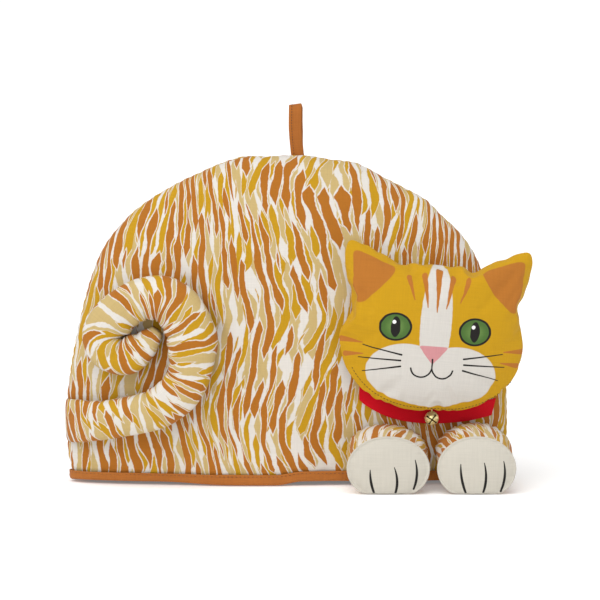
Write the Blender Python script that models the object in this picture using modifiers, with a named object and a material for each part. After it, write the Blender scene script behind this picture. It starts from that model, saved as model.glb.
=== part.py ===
"""Padded tea cosy shaped like a sitting cat, standing on its hem.

Metres, +Z up. The cat's face looks along -Y, +X is to the right seen from the
front. The cosy is a hollow dome of two padded panels sewn along one seam over
the top, bound along the hem. A stuffed tail, head and two paws are sewn on.
"""
import math

import bmesh
import bpy
import numpy as np
from mathutils import Vector

# ---------------------------------------------------------------- named sizes
HEIGHT = 0.2582            # hem to the top seam
WALL = 0.0055              # cotton, wadding and cotton, quilted into one panel
ROUND = 0.85               # fullness of the plan: 1 is an ellipse
SEAM_GAP = 0.0003          # between the two panels
GAP = 0.0006               # between a piece and what it lies on
GATHER = 0.62              # share of a bend's radius that the tail's inside keeps
ORIGIN = (0.00495, -0.0184)     # plan position of the bounding box middle

BIND_T = 0.0008            # folded cotton binding
BIND_H = 0.0088
BIND_CLEAR = 0.0003
BIND_CLEAR_IN = 0.0008
HEM_Z = BIND_T + BIND_CLEAR    # lower edge of the panels, inside the binding

LOOP_W = 0.0100            # hanging loop: a folded, top-stitched tape
LOOP_H = 0.0400
LOOP_T = 0.0010
LOOP_X = 0.0075
LOOP_LEAN = -0.0016

HEAD_AT = (0.1135, -0.0460, 0.1214)
HEAD_TILT = math.radians(4.5)      # clockwise seen from the front
HEAD_YAW = math.radians(3.0)       # far side turned back a little
HEAD_FRONT = 0.0185
HEAD_BACK = 0.0160
HEAD_EDGE = 0.040                  # the pillow reaches full height this far in

COLLAR_W = 0.0125
COLLAR_T = 0.0012
BELL_R = 0.0056
BELL_AT = (0.1122, 0.0545)         # x, z of the bell's middle
BELL_SLOT = 0.0011

PAW_FRONT_T = 0.0012
PAW_DOME = 0.0042

COLUMNS = 44               # facets round the dome, hem and binding
ROWS = 17                  # facets from the hem to the top seam

# outline of the dome and how far the front and back stand out at mid-width
DOME = (
    # z,     half_width, front,  back
    (-0.012, 0.1700, 0.0238, 0.0240),
    (0.0000, 0.1715, 0.0255, 0.0255),
    (0.0400, 0.1740, 0.0310, 0.0305),
    (0.0850, 0.1725, 0.0355, 0.0345),
    (0.1200, 0.1665, 0.0365, 0.0355),
    (0.1550, 0.1580, 0.0360, 0.0350),
    (0.1830, 0.1460, 0.0340, 0.0330),
    (0.2080, 0.1260, 0.0300, 0.0295),
    (0.2300, 0.0980, 0.0240, 0.0235),
    (0.2495, 0.0600, 0.0150, 0.0148),
    (HEIGHT, 0.0000, 0.0000, 0.0000),
)
# soft waves of the front above the hem
WAVES = (
    # x,     out,     spread, height
    (-0.040, 0.0022, 0.045, 0.060),
    (0.045, -0.0026, 0.034, 0.045),
    (-0.105, -0.0012, 0.030, 0.050),
)
# half of the head's outline, from the chin to the crown, in the head's plane
HEAD = (
    # place,        x,      z
    ("chin", 0.0000, -0.0590),
    ("jaw", 0.0265, -0.0572),
    ("jaw", 0.0500, -0.0466),
    ("cheek", 0.0660, -0.0280),
    ("cheek", 0.0715, -0.0045),
    ("ear root", 0.0650, 0.0150),
    ("ear", 0.0675, 0.0400),
    ("ear", 0.0700, 0.0600),
    ("ear tip", 0.0672, 0.0678),
    ("ear", 0.0595, 0.0672),
    ("ear", 0.0440, 0.0600),
    ("ear root", 0.0285, 0.0515),
    ("crown", 0.0140, 0.0535),
    ("crown", 0.0000, 0.0545),
)
# the tail's middle line on the front panel, from the side seam to the tip
TAIL = (
    # round,  z,     width,  thickness   (round: from the left side seam)
    (0.0000, 0.0500, 0.0400, 0.0030),
    (0.0080, 0.0500, 0.0370, 0.0060),
    (0.0170, 0.0505, 0.0345, 0.0105),
    (0.0270, 0.0515, 0.0336, 0.0145),
    (0.0385, 0.0529, 0.0327, 0.0170),
    (0.0520, 0.0556, 0.0320, 0.0190),
    (0.0665, 0.0586, 0.0318, 0.0200),
    (0.0835, 0.0641, 0.0325, 0.0210),
    (0.0965, 0.0734, 0.0330, 0.0215),
    (0.1060, 0.0868, 0.0340, 0.0215),
    (0.1075, 0.1029, 0.0363, 0.0215),
    (0.1045, 0.1185, 0.0380, 0.0215),
    (0.0950, 0.1355, 0.0371, 0.0210),
    (0.0775, 0.1477, 0.0356, 0.0210),
    (0.0605, 0.1474, 0.0328, 0.0205),
    (0.0474, 0.1389, 0.0325, 0.0205),
    (0.0396, 0.1265, 0.0360, 0.0200),
    (0.0403, 0.1145, 0.0375, 0.0195),
    (0.0490, 0.1061, 0.0350, 0.0190),
    (0.0595, 0.1056, 0.0305, 0.0180),
    (0.0679, 0.1110, 0.0240, 0.0165),
    (0.0733, 0.1180, 0.0170, 0.0135),
    (0.0764, 0.1235, 0.0105, 0.0100),
)
# middle line of the collar on the front panel
COLLAR = (
    # x,     z
    (0.0535, 0.0795),
    (0.0656, 0.0688),
    (0.0813, 0.0608),
    (0.0994, 0.0567),
    (0.1220, 0.0557),
    (0.1425, 0.0574),
    (0.1590, 0.0606),
)
# stations of a paw, from the body to the cream front
PAW = (
    # y,      half_width, low,     high   (share of the paw's own width)
    (0.0000, 0.970, 0.0075, 0.0500),
    (-0.0330, 0.980, 0.0045, 0.0500),
    (-0.0480, 1.000, -0.0015, 0.0482),
    (-0.0600, 1.000, -0.0030, 0.0460),
    (-0.0665, 0.985, -0.0030, 0.0445),
)
PAWS = (
    # side,  x,      half_width
    ("left", 0.0773, 0.0318),
    ("right", 0.1452, 0.0302),
)
# colour (linear), roughness, metallic
FINISH = {
    "printed_cotton": ((0.60, 0.34, 0.10), 0.85, 0.0),
    "rust_cotton": ((0.45, 0.14, 0.035), 0.85, 0.0),
    "mustard_cotton": ((0.60, 0.35, 0.03), 0.85, 0.0),
    "cream_cotton": ((0.68, 0.63, 0.53), 0.85, 0.0),
    "red_felt": ((0.39, 0.003, 0.010), 0.9, 0.0),
    "gold_metal": ((0.76, 0.60, 0.28), 0.25, 1.0),
}


# ------------------------------------------------------------------- helpers
def smooth(points, steps, closed=False):
    """Centripetal Catmull-Rom curve through the rows of a table."""
    p = np.asarray(points, float)
    if closed:
        p = np.vstack([p[-1], p, p[0], p[1]])
    else:
        p = np.vstack([2 * p[0] - p[1], p, 2 * p[-1] - p[-2]])
    out = []
    for a, b, c, d in zip(p[:-3], p[1:-2], p[2:-1], p[3:]):
        t = [0.0]
        for q, r in ((a, b), (b, c), (c, d)):
            t.append(t[-1] + max(np.linalg.norm(r - q), 1e-9) ** 0.5)
        for u in np.linspace(t[1], t[2], steps, endpoint=False):
            a1 = (t[1] - u) / (t[1] - t[0]) * a + (u - t[0]) / (t[1] - t[0]) * b
            a2 = (t[2] - u) / (t[2] - t[1]) * b + (u - t[1]) / (t[2] - t[1]) * c
            a3 = (t[3] - u) / (t[3] - t[2]) * c + (u - t[2]) / (t[3] - t[2]) * d
            b1 = (t[2] - u) / (t[2] - t[0]) * a1 + (u - t[0]) / (t[2] - t[0]) * a2
            b2 = (t[3] - u) / (t[3] - t[1]) * a2 + (u - t[1]) / (t[3] - t[1]) * a3
            out.append((t[2] - u) / (t[2] - t[1]) * b1
                       + (u - t[1]) / (t[2] - t[1]) * b2)
    if not closed:
        out.append(p[-2])
    return np.array(out)


def dome_profile():
    """Dense outline of the dome, running on past the top so that it is flat there."""
    rows = [np.array(r) for r in DOME]
    past = rows[-2] * np.array([1, -1, -1, -1])
    dense = smooth(rows + [past], 60)
    top = int(np.argmax(dense[:, 0]))
    return dense[:top + 1]


PROFILE = dome_profile()


def section(z):
    """Half width, front depth and back depth of the dome at height z."""
    return tuple(np.interp(z, PROFILE[:, 0], PROFILE[:, i]) for i in (1, 2, 3))


def wave(x, z):
    total = 0.0
    for x0, out, spread, height in WAVES:
        total = total + out * np.exp(-((x - x0) / spread) ** 2) \
            * np.exp(-(np.maximum(z, 0) / height) ** 2)
    return total


def skin(turn, z, w=None, f=None, b=None):
    """Point of the dome's outside. turn 0 is the left seam, pi/2 mid-front."""
    if w is None:
        w, f, b = section(z)
    x = -w * np.cos(turn)
    s = np.sin(turn)
    if s >= 0:
        y = -(f + wave(x, z) * s) * s ** ROUND
    else:
        y = b * (-s) ** ROUND
    return np.array([x, y, z])


def front_y(x, z):
    """Outside of the front panel above a point of the front view."""
    w, f, _ = section(z)
    s = np.sqrt(np.maximum(1 - (x / w) ** 2, 0))
    return -(f + wave(x, z) * s) * s ** ROUND


def girth(z):
    """Points round the front at height z, their distance from the left seam."""
    turns = np.linspace(0, math.pi, 241)
    pts = np.array([skin(t, z) for t in turns])
    run = np.concatenate([[0], np.cumsum(np.linalg.norm(np.diff(pts, axis=0), axis=1))])
    return pts, run


def on_front(along, z):
    """Point of the front panel at a distance round from the left seam, and its normal."""
    pts, run = girth(z)
    up, run_up = girth(z + 0.002)

    def at(p, r, a):
        a = max(a, 0.0)
        return np.array([np.interp(a, r, p[:, i]) for i in range(3)])
    here = at(pts, run, along)
    side = at(pts, run, max(along, 0) + 0.004) - at(pts, run, max(along, 0.002) - 0.002)
    rise = at(up, run_up, along) - here
    n = np.cross(side, rise)
    return here, n / np.linalg.norm(n)


def finish(obj, slot):
    colour, rough, metal = FINISH[slot]
    mat = bpy.data.materials.get(slot)
    if mat is None:
        mat = bpy.data.materials.new(slot)
        mat.use_nodes = True
        shader = mat.node_tree.nodes["Principled BSDF"]
        shader.inputs["Base Color"].default_value = (*colour, 1)
        shader.inputs["Roughness"].default_value = rough
        shader.inputs["Metallic"].default_value = metal
    obj.data.materials.clear()
    obj.data.materials.append(mat)


def add_mesh(name, verts, faces, slot):
    me = bpy.data.meshes.new(name)
    me.from_pydata([tuple(map(float, v)) for v in verts], [], faces)
    me.update()
    obj = bpy.data.objects.new(name, me)
    COSY.objects.link(obj)
    finish(obj, slot)
    return obj


def grid_faces(rows, cols, around=False):
    """Quads between rows of points, facing out of rows that run anticlockwise."""
    faces = []
    for j in range(rows - 1):
        for i in range(cols if around else cols - 1):
            k = (i + 1) % cols
            faces.append((j * cols + i, j * cols + k,
                          (j + 1) * cols + k, (j + 1) * cols + i))
    return faces


def solidify(obj, thickness, offset, even=True):
    mod = obj.modifiers.new("thickness", "SOLIDIFY")
    mod.thickness = thickness
    mod.offset = offset
    mod.use_even_offset = even
    mod.use_quality_normals = True
    return apply(obj)


def apply(obj):
    """Put an object's modifiers into its mesh."""
    bpy.context.view_layer.update()
    graph = bpy.context.evaluated_depsgraph_get()
    me = bpy.data.meshes.new_from_object(obj.evaluated_get(graph))
    old = obj.data
    obj.modifiers.clear()
    obj.data = me
    bpy.data.meshes.remove(old)
    return obj


def outward(obj):
    bm = bmesh.new()
    bm.from_mesh(obj.data)
    bmesh.ops.recalc_face_normals(bm, faces=bm.faces)
    if bm.calc_volume(signed=True) < 0:
        bmesh.ops.reverse_faces(bm, faces=bm.faces)
    bm.to_mesh(obj.data)
    bm.free()
    return obj


def loft(name, rings, slot, caps=(None, None)):
    """Closed solid through rings of points, each end closed on a middle point."""
    n = len(rings[0])
    verts = [p for ring in rings for p in ring]
    faces = grid_faces(len(rings), n, around=True)
    for end, ring_no, pole in ((0, 0, caps[0]), (1, len(rings) - 1, caps[1])):
        if pole is None:
            pole = np.mean(rings[ring_no], axis=0)
        verts.append(pole)
        mid = len(verts) - 1
        for i in range(n):
            a, b = ring_no * n + i, ring_no * n + (i + 1) % n
            faces.append((mid, b, a) if end == 0 else (mid, a, b))
    return outward(add_mesh(name, verts, faces, slot))


# -------------------------------------------------------------- the two panels
def cosy_panels():
    """The padded dome as one shell, then cut along the seam into its panels."""
    z_all, run = PROFILE[:, 0], None
    keep = z_all >= HEM_Z
    prof = np.vstack([[np.interp(HEM_Z, z_all, PROFILE[:, i]) for i in range(4)],
                      PROFILE[keep]])
    run = np.concatenate([[0], np.cumsum(np.hypot(np.diff(prof[:, 0]),
                                                  np.diff(prof[:, 1])))])
    # rows stand closer towards the hem and towards the top
    share = np.linspace(0, 1, ROWS + 1)
    stations = run[-1] * (share + 0.035 * np.sin(2 * math.pi * share))
    verts = []
    for s in stations[:-1]:
        z, w, f, b = (np.interp(s, run, prof[:, i]) for i in range(4))
        for i in range(COLUMNS):
            verts.append(skin(2 * math.pi * i / COLUMNS, z, w, f, b))
    faces = grid_faces(ROWS, COLUMNS, around=True)
    verts.append((0, 0, HEIGHT))
    last = (ROWS - 1) * COLUMNS
    for i in range(COLUMNS):
        faces.append((last + i, last + (i + 1) % COLUMNS, len(verts) - 1))
    shell = add_mesh("shell", verts, faces, "printed_cotton")
    solidify(shell, WALL, -1)
    for v in shell.data.vertices:
        if v.co.z < HEM_Z + 0.0012:
            v.co.z = HEM_Z
    for name, side in (("body_front", -1), ("body_back", 1)):
        bm = bmesh.new()
        bm.from_mesh(shell.data)
        bmesh.ops.bisect_plane(
            bm, geom=bm.verts[:] + bm.edges[:] + bm.faces[:], dist=1e-6,
            plane_co=(0, side * SEAM_GAP / 2, 0), plane_no=(0, -side, 0),
            clear_outer=True)
        rim = [e for e in bm.edges if e.is_boundary]
        bmesh.ops.triangle_fill(bm, use_beauty=True, edges=rim,
                                normal=(0, -side, 0))
        bmesh.ops.recalc_face_normals(bm, faces=bm.faces)
        me = bpy.data.meshes.new(name)
        bm.to_mesh(me)
        bm.free()
        obj = bpy.data.objects.new(name, me)
        COSY.objects.link(obj)
        finish(obj, "printed_cotton")
        outward(obj)
    bpy.data.objects.remove(shell)


# ----------------------------------------------------------------- hem binding
def hem_binding():
    """A folded strip that hugs both sides of the wall and passes under it."""
    turns = [2 * math.pi * i / COLUMNS for i in range(COLUMNS)]

    def ring(off, z):
        out = []
        for t in turns:
            p = skin(t, max(z, HEM_Z))
            ahead, behind = skin(t + 0.02, max(z, HEM_Z)), skin(t - 0.02, max(z, HEM_Z))
            d = ahead - behind
            n = np.array([d[1], -d[0], 0.0])
            n /= np.linalg.norm(n)
            q = p + n * off
            out.append((q[0], q[1], z))
        return out
    outer, inner = BIND_CLEAR, -(WALL + BIND_CLEAR_IN)
    rings = [ring(inner, BIND_H - 0.0008), ring(inner, BIND_T + 0.0030),
             ring(inner, BIND_T), ring(outer, BIND_T),
             ring(outer, BIND_T + 0.0030), ring(outer, BIND_H)]
    verts = [p for r in rings for p in r]
    strip = add_mesh("hem_binding", verts, grid_faces(len(rings), COLUMNS, around=True),
                     "rust_cotton")
    solidify(strip, BIND_T, 1)
    for v in strip.data.vertices:
        if v.co.z < BIND_T * 0.6:
            v.co.z = 0.0
    outward(strip)


# ---------------------------------------------------------------- hanging loop
def hanging_loop():
    """Tape that rises from the top seam, turns over and comes back down."""
    side = [(-0.0009, 0.0), (-0.0026, 0.010), (-0.0042, 0.024), (-0.0044, 0.034),
            (-0.0030, LOOP_H - 0.0022), (0.0, LOOP_H - LOOP_T / 2)]
    path = smooth(side + [(-y, z) for y, z in reversed(side[:-1])], 2)
    verts = []
    for y, z in path:
        lean = LOOP_LEAN * z / LOOP_H
        slant = 0.0011 * z / LOOP_H
        base = HEIGHT + 0.0007
        for k in (-0.5, 0.5):
            verts.append((LOOP_X + lean + k * LOOP_W, y,
                          base + z + (k - 0.5) * slant))
    faces = [(2 * j, 2 * j + 1, 2 * j + 3, 2 * j + 2) for j in range(len(path) - 1)]
    loop = add_mesh("hanging_loop", verts, faces, "rust_cotton")
    solidify(loop, LOOP_T, 0)
    outward(loop)


# ------------------------------------------------------------------------ tail
def tail():
    """Stuffed tube, flattened where it lies on the front, curled to its tip."""
    line = smooth(TAIL, 2)
    ring_n = 12
    mids, normals = [], []
    for along, z, width, thick in line:
        here, n = on_front(along, z)
        mids.append(here + n * (GAP + 0.5 * thick))
        normals.append(n)
    mids = np.array(mids)
    last = len(mids) - 1
    aheads = []
    for i, n in enumerate(normals):
        ahead = mids[min(i + 1, last)] - mids[max(i - 1, 0)]
        ahead = ahead - n * np.dot(ahead, n)
        aheads.append(ahead / np.linalg.norm(ahead))
    rings = []
    for i, (c, n) in enumerate(zip(mids, normals)):
        across = np.cross(n, aheads[i])
        width, thick = line[i][2], line[i][3]
        outer = width / 2
        # the inside of a bend is gathered in, short of the bend's own middle
        p, q = max(i - 2, 0), min(i + 2, last)
        bend = np.dot(aheads[q] - aheads[p], across) / np.linalg.norm(mids[q] - mids[p])
        side = 1 if bend > 0 else -1
        inner = min(outer, GATHER / max(abs(bend), 1e-6))
        free = min((last - i) / 6, 1.0)
        inner = inner * free + outer * (1 - free)
        rings.append(oval(c - across * side * (outer - inner) / 2, across, n,
                          (outer + inner) / 2, thick / 2, ring_n))
    ends = []
    for i, sign in ((0, -1), (len(mids) - 1, 1)):
        j = i - sign
        n = normals[i]
        ahead = mids[i] - mids[j]
        ahead -= n * np.dot(ahead, n)
        ahead /= np.linalg.norm(ahead)
        across = np.cross(n, ahead * sign)
        width, thick = line[i][2], line[i][3]
        reach = thick * 0.5 if sign < 0 else width * 0.5
        rounds = []
        for share in (0.5, 0.85):
            k = math.sqrt(1 - share ** 2)
            rounds.append(oval(mids[i] + ahead * reach * share, across, n,
                               width / 2 * (k if sign > 0 else 1 - 0.2 * share),
                               thick / 2 * k, ring_n))
        ends.append((rounds, mids[i] + ahead * reach))
    rings = ends[0][0][::-1] + rings + ends[1][0]
    return loft("tail", rings, "printed_cotton", caps=(ends[0][1], ends[1][1]))


def oval(c, across, up, a, b, n, square=2.35):
    """Ring of points: an ellipse filled out towards a rounded rectangle."""
    out = []
    for k in range(n):
        t = 2 * math.pi * k / n
        cs, sn = math.cos(t), math.sin(t)
        out.append(c + across * a * math.copysign(abs(cs) ** (2 / square), cs)
                   + up * b * math.copysign(abs(sn) ** (2 / square), sn))
    return np.array(out)


# ------------------------------------------------------------------------ head
def head_place(p):
    """From the head's own plane (x, y, z) to the cosy."""
    x, y, z = p
    x, y = (x * math.cos(HEAD_YAW) - y * math.sin(HEAD_YAW),
            x * math.sin(HEAD_YAW) + y * math.cos(HEAD_YAW))
    x, z = (x * math.cos(HEAD_TILT) + z * math.sin(HEAD_TILT),
            z * math.cos(HEAD_TILT) - x * math.sin(HEAD_TILT))
    return np.array([x + HEAD_AT[0], y + HEAD_AT[1], z + HEAD_AT[2]])


def head():
    """Stuffed head: a pillow of this outline, its back resting on the front panel."""
    half = [np.array(r[1:]) for r in HEAD]
    rest = [np.array([-p[0], p[1]]) for p in reversed(half[1:-1])]
    edge = smooth(half + rest, 2, closed=True)
    n = len(edge)
    fine = smooth(half + rest, 12, closed=True)

    def swell(p):
        d = np.min(np.linalg.norm(fine - p, axis=1))
        u = min(d / HEAD_EDGE, 1.0)
        return math.sqrt(max(1 - (1 - u) ** 2.0, 0.0))
    rings = []
    shares = (0.30, 0.58, 0.80, 0.93)
    for share in shares:
        rings.append([np.array([p[0] * share, -HEAD_FRONT * swell(p * share),
                                p[1] * share]) for p in edge])
    rings.append([np.array([p[0], 0.0, p[1]]) for p in edge])
    for share in reversed(shares):
        rings.append([np.array([p[0] * share, HEAD_BACK * swell(p * share),
                                p[1] * share]) for p in edge])
    placed = [np.array([clear_back(head_place(p)) for p in ring]) for ring in rings]
    caps = (head_place((0, -HEAD_FRONT, 0)), clear_back(head_place((0, HEAD_BACK, 0))))
    return loft("head", placed, "mustard_cotton", caps=caps)


def clear_back(p, room=0.0028):
    """Keep a point of the head in front of the panel and the collar on it."""
    w = section(p[2])[0]
    if abs(p[0]) < w:
        p[1] = min(p[1], front_y(p[0], p[2]) - room)
    return p


# ------------------------------------------------------------ collar and bell
def collar():
    """Flat felt band on the front panel, its right end cut on the slant."""
    line = smooth(COLLAR, 4)
    verts = []
    for i, (x, z) in enumerate(line):
        a, b = line[max(i - 1, 0)], line[min(i + 1, len(line) - 1)]
        d = (b - a) / np.linalg.norm(b - a)
        up = np.array([-d[1], d[0]])
        for k in (-0.5, 0.0, 0.5):
            q = np.array([x, z]) + up * k * COLLAR_W
            verts.append((q[0], front_y(q[0], q[1]) - GAP, q[1]))
    faces = grid_faces(len(line), 3)
    band = add_mesh("collar", verts, [tuple(reversed(f)) for f in faces], "red_felt")
    solidify(band, COLLAR_T, 1)
    outward(band)


def bell():
    """Round bell with crossed slots, and the wire eye that it is sewn on by."""
    x, z = BELL_AT
    y = front_y(x, z) - GAP - COLLAR_T - 0.0004 - BELL_R
    bpy.ops.mesh.primitive_uv_sphere_add(segments=20, ring_count=12, radius=BELL_R,
                                         location=(x, y, z))
    ball = bpy.context.object
    ball.name = "bell"
    move_in(ball)
    bpy.ops.mesh.primitive_torus_add(
        major_segments=14, minor_segments=6, major_radius=0.00135,
        minor_radius=0.00038, location=(x, y + 0.0004, z + BELL_R + 0.0008),
        rotation=(0, math.pi / 2, 0))
    eye = bpy.context.object
    eye.name = "bell_eye_tool"
    move_in(eye, tool=True)
    join = ball.modifiers.new("eye", "BOOLEAN")
    join.operation = "UNION"
    join.object = eye
    for k in (0, 1):
        bpy.ops.mesh.primitive_cube_add(size=1, location=(x, y - BELL_R, z - 0.0006))
        blade = bpy.context.object
        blade.name = "bell_slot_tool_%d" % k
        blade.scale = (0.0078, 0.0034, BELL_SLOT)
        blade.rotation_euler = (0, math.radians(35 + 90 * k), 0)
        move_in(blade, tool=True)
        cut = ball.modifiers.new("slot", "BOOLEAN")
        cut.operation = "DIFFERENCE"
        cut.object = blade
    finish(ball, "gold_metal")


def move_in(obj, tool=False):
    for c in list(obj.users_collection):
        c.objects.unlink(obj)
    (TOOLS if tool else COSY).objects.link(obj)
    if tool:
        obj.hide_render = True
        obj.display_type = "WIRE"


# ------------------------------------------------------------------------ paws
def paw_ring(x0, half, y, wide, low, high, n, shrink=1.0):
    mid, tall = (low + high) / 2, (high - low) / 2
    ring = oval(np.array([x0, y, mid]), np.array([1.0, 0, 0]), np.array([0, 0, 1.0]),
                half * wide * shrink, tall * shrink, n, square=2.2)
    return ring


def rest_on_floor(ring):
    ring[:, 2] = np.maximum(ring[:, 2], 0.0)
    return ring


def paws():
    n = 22
    for side, x0, half in PAWS:
        def sewn(p):
            """The paw's back lies on the front panel, clear of the binding."""
            w = section(p[2])[0]
            y = front_y(p[0], p[2]) if abs(p[0]) < w else 0.0
            low = p[2] < BIND_H + 0.0030
            turn = min(abs(p[0]) / w, 1.0) ** 4      # the side turns away fast
            return min(y, -0.0030) - (0.0022 if low else GAP + 0.0003) - 0.0014 * turn
        rings = []
        _, wide, low, high = PAW[0]
        back_mid = np.array([x0, 0, (low + high) / 2])
        for shrink in (0.35, 0.70, 1.0):
            ring = rest_on_floor(paw_ring(x0, half, 0, wide, low, high, n, shrink))
            for p in ring:
                p[1] = sewn(p)
            rings.append(ring)
        for y, wide, low, high in PAW[1:]:
            ring = rest_on_floor(paw_ring(x0, half, y, wide, low, high, n))
            for p in ring:
                p[1] = min(p[1], sewn(p) - 0.004)
            rings.append(ring)
        y, wide, low, high = PAW[-1]
        for shrink in (0.80, 0.45):
            rings.append(rest_on_floor(paw_ring(
                x0, half, y - PAW_DOME * (1 - shrink ** 2), wide, low, high, n, shrink)))
        back_mid[1] = sewn(back_mid)
        front_mid = np.array([x0, y - PAW_DOME, (low + high) / 2])
        loft("paw_" + side, rings, "printed_cotton", caps=(back_mid, front_mid))

        verts = [np.array([x0, y - PAW_DOME - 0.0004, (low + high) / 2])]
        shares = (0.33, 0.62, 0.84, 0.975)
        for share in shares:
            ring = paw_ring(x0, half, y - 0.0004 - PAW_DOME * (1 - share ** 2),
                            wide, low, high, n, share)
            ring[:, 2] = np.maximum(ring[:, 2], 0.0)
            verts += list(ring)
        faces = [(0, 1 + (i + 1) % n, 1 + i) for i in range(n)]
        faces += [tuple(1 + v for v in f) for f in grid_faces(len(shares), n, around=True)]
        front = add_mesh("paw_front_" + side, verts, faces, "cream_cotton")
        bm = bmesh.new()
        bm.from_mesh(front.data)
        bm.normal_update()
        if sum(f.normal.y * f.calc_area() for f in bm.faces) > 0:
            bmesh.ops.reverse_faces(bm, faces=bm.faces)
        bm.to_mesh(front.data)
        bm.free()
        solidify(front, PAW_FRONT_T, 1, even=False)
        for v in front.data.vertices:
            v.co.z = max(v.co.z, 0.0)
        outward(front)


# ----------------------------------------------------------------------- build
for old in list(bpy.data.objects):
    bpy.data.objects.remove(old)
COSY = bpy.data.collections.new("tea_cosy")
TOOLS = bpy.data.collections.new("tools")
for c in (COSY, TOOLS):
    bpy.context.scene.collection.children.link(c)

cosy_panels()
hem_binding()
hanging_loop()
tail()
head()
collar()
bell()
paws()

# the frame's origin is under the middle of the bounding box
for obj in list(COSY.objects) + list(TOOLS.objects):
    obj.location += Vector((-ORIGIN[0], -ORIGIN[1], 0.0))
for obj in COSY.objects:
    obj.data.shade_smooth()
    obj.data.set_sharp_from_angle(angle=math.radians(50))
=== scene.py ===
"""Looks for a padded tea cosy shaped like a sitting cat.

Metres, +Z up, the front towards -Y. Shapes are worked out in the cosy's own
frame (mid-seam above x = 0, y = 0) and moved by ORIGIN when a mesh is made.
"""

import math

import bmesh
import bpy
import numpy as np
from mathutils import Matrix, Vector
from mathutils.bvhtree import BVHTree
from mathutils.geometry import delaunay_2d_cdt


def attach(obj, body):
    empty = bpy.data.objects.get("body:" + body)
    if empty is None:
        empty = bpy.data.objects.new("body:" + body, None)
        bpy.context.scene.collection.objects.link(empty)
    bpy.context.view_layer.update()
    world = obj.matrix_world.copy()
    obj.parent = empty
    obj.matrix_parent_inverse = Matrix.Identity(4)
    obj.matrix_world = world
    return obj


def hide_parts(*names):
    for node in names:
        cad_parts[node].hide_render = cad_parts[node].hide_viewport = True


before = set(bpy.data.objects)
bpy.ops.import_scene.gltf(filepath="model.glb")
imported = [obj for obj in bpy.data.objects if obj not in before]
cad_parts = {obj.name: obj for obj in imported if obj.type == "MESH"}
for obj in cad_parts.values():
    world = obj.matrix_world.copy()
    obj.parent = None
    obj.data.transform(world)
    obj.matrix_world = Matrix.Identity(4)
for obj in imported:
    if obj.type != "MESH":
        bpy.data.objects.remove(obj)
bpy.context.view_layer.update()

MM = 0.001
# ---------------------------------------------------------------- named sizes
HEIGHT = 0.2582            # hem to the top seam
WALL = 0.0055              # the padded panel
ROUND = 0.85
GAP = 0.0006
ORIGIN = np.array([0.00495, -0.0184, 0.0])
BIND_T, BIND_H, BIND_CLEAR, BIND_CLEAR_IN = 0.0008, 0.0088, 0.0003, 0.0008
HEM_Z = BIND_T + BIND_CLEAR
LOOP_W, LOOP_H, LOOP_X, LOOP_LEAN = 0.0100, 0.0400, 0.0075, -0.0016
HEAD_AT = (0.1120, -0.0460, 0.1214)
HEAD_TILT = math.radians(4.5)
HEAD_YAW = math.radians(3.0)
HEAD_FRONT, HEAD_BACK = 0.0185, 0.0160
PUFF = 2.2                 # pressure of the head's stuffing
COLLAR_W, COLLAR_T = 0.0125, 0.0013
BELL_R = 0.0056
BELL_AT = (0.1122, 0.0545)
PAW_DOME = 0.0046

# outline of the dome and how far the front and back stand out at mid-width
DOME = (
    # z,     half_width, front,  back
    (-0.012, 0.1700, 0.0238, 0.0240),
    (0.0000, 0.1715, 0.0255, 0.0255),
    (0.0400, 0.1740, 0.0310, 0.0305),
    (0.0850, 0.1725, 0.0355, 0.0345),
    (0.1200, 0.1665, 0.0365, 0.0355),
    (0.1550, 0.1580, 0.0360, 0.0350),
    (0.1830, 0.1460, 0.0340, 0.0330),
    (0.2080, 0.1260, 0.0300, 0.0295),
    (0.2300, 0.0980, 0.0240, 0.0235),
    (0.2495, 0.0600, 0.0150, 0.0148),
    (HEIGHT, 0.0000, 0.0000, 0.0000),
)
# soft waves of the front above the hem
WAVES = (
    # x,     out,     spread, height
    (-0.040, 0.0022, 0.045, 0.060),
    (0.045, -0.0026, 0.034, 0.045),
    (-0.105, -0.0012, 0.030, 0.050),
)
# half of the head's outline, from the chin to the crown
HEAD = (
    # place,        x,      z
    ("chin", 0.0000, -0.0590),
    ("jaw", 0.0265, -0.0572),
    ("jaw", 0.0500, -0.0466),
    ("cheek", 0.0660, -0.0280),
    ("cheek", 0.0715, -0.0045),
    ("ear root", 0.0650, 0.0150),
    ("ear", 0.0690, 0.0400),
    ("ear", 0.0726, 0.0600),
    ("ear tip", 0.0702, 0.0680),
    ("ear", 0.0620, 0.0672),
    ("ear", 0.0452, 0.0600),
    ("ear root", 0.0285, 0.0515),
    ("crown", 0.0140, 0.0535),
    ("crown", 0.0000, 0.0545),
)
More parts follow.
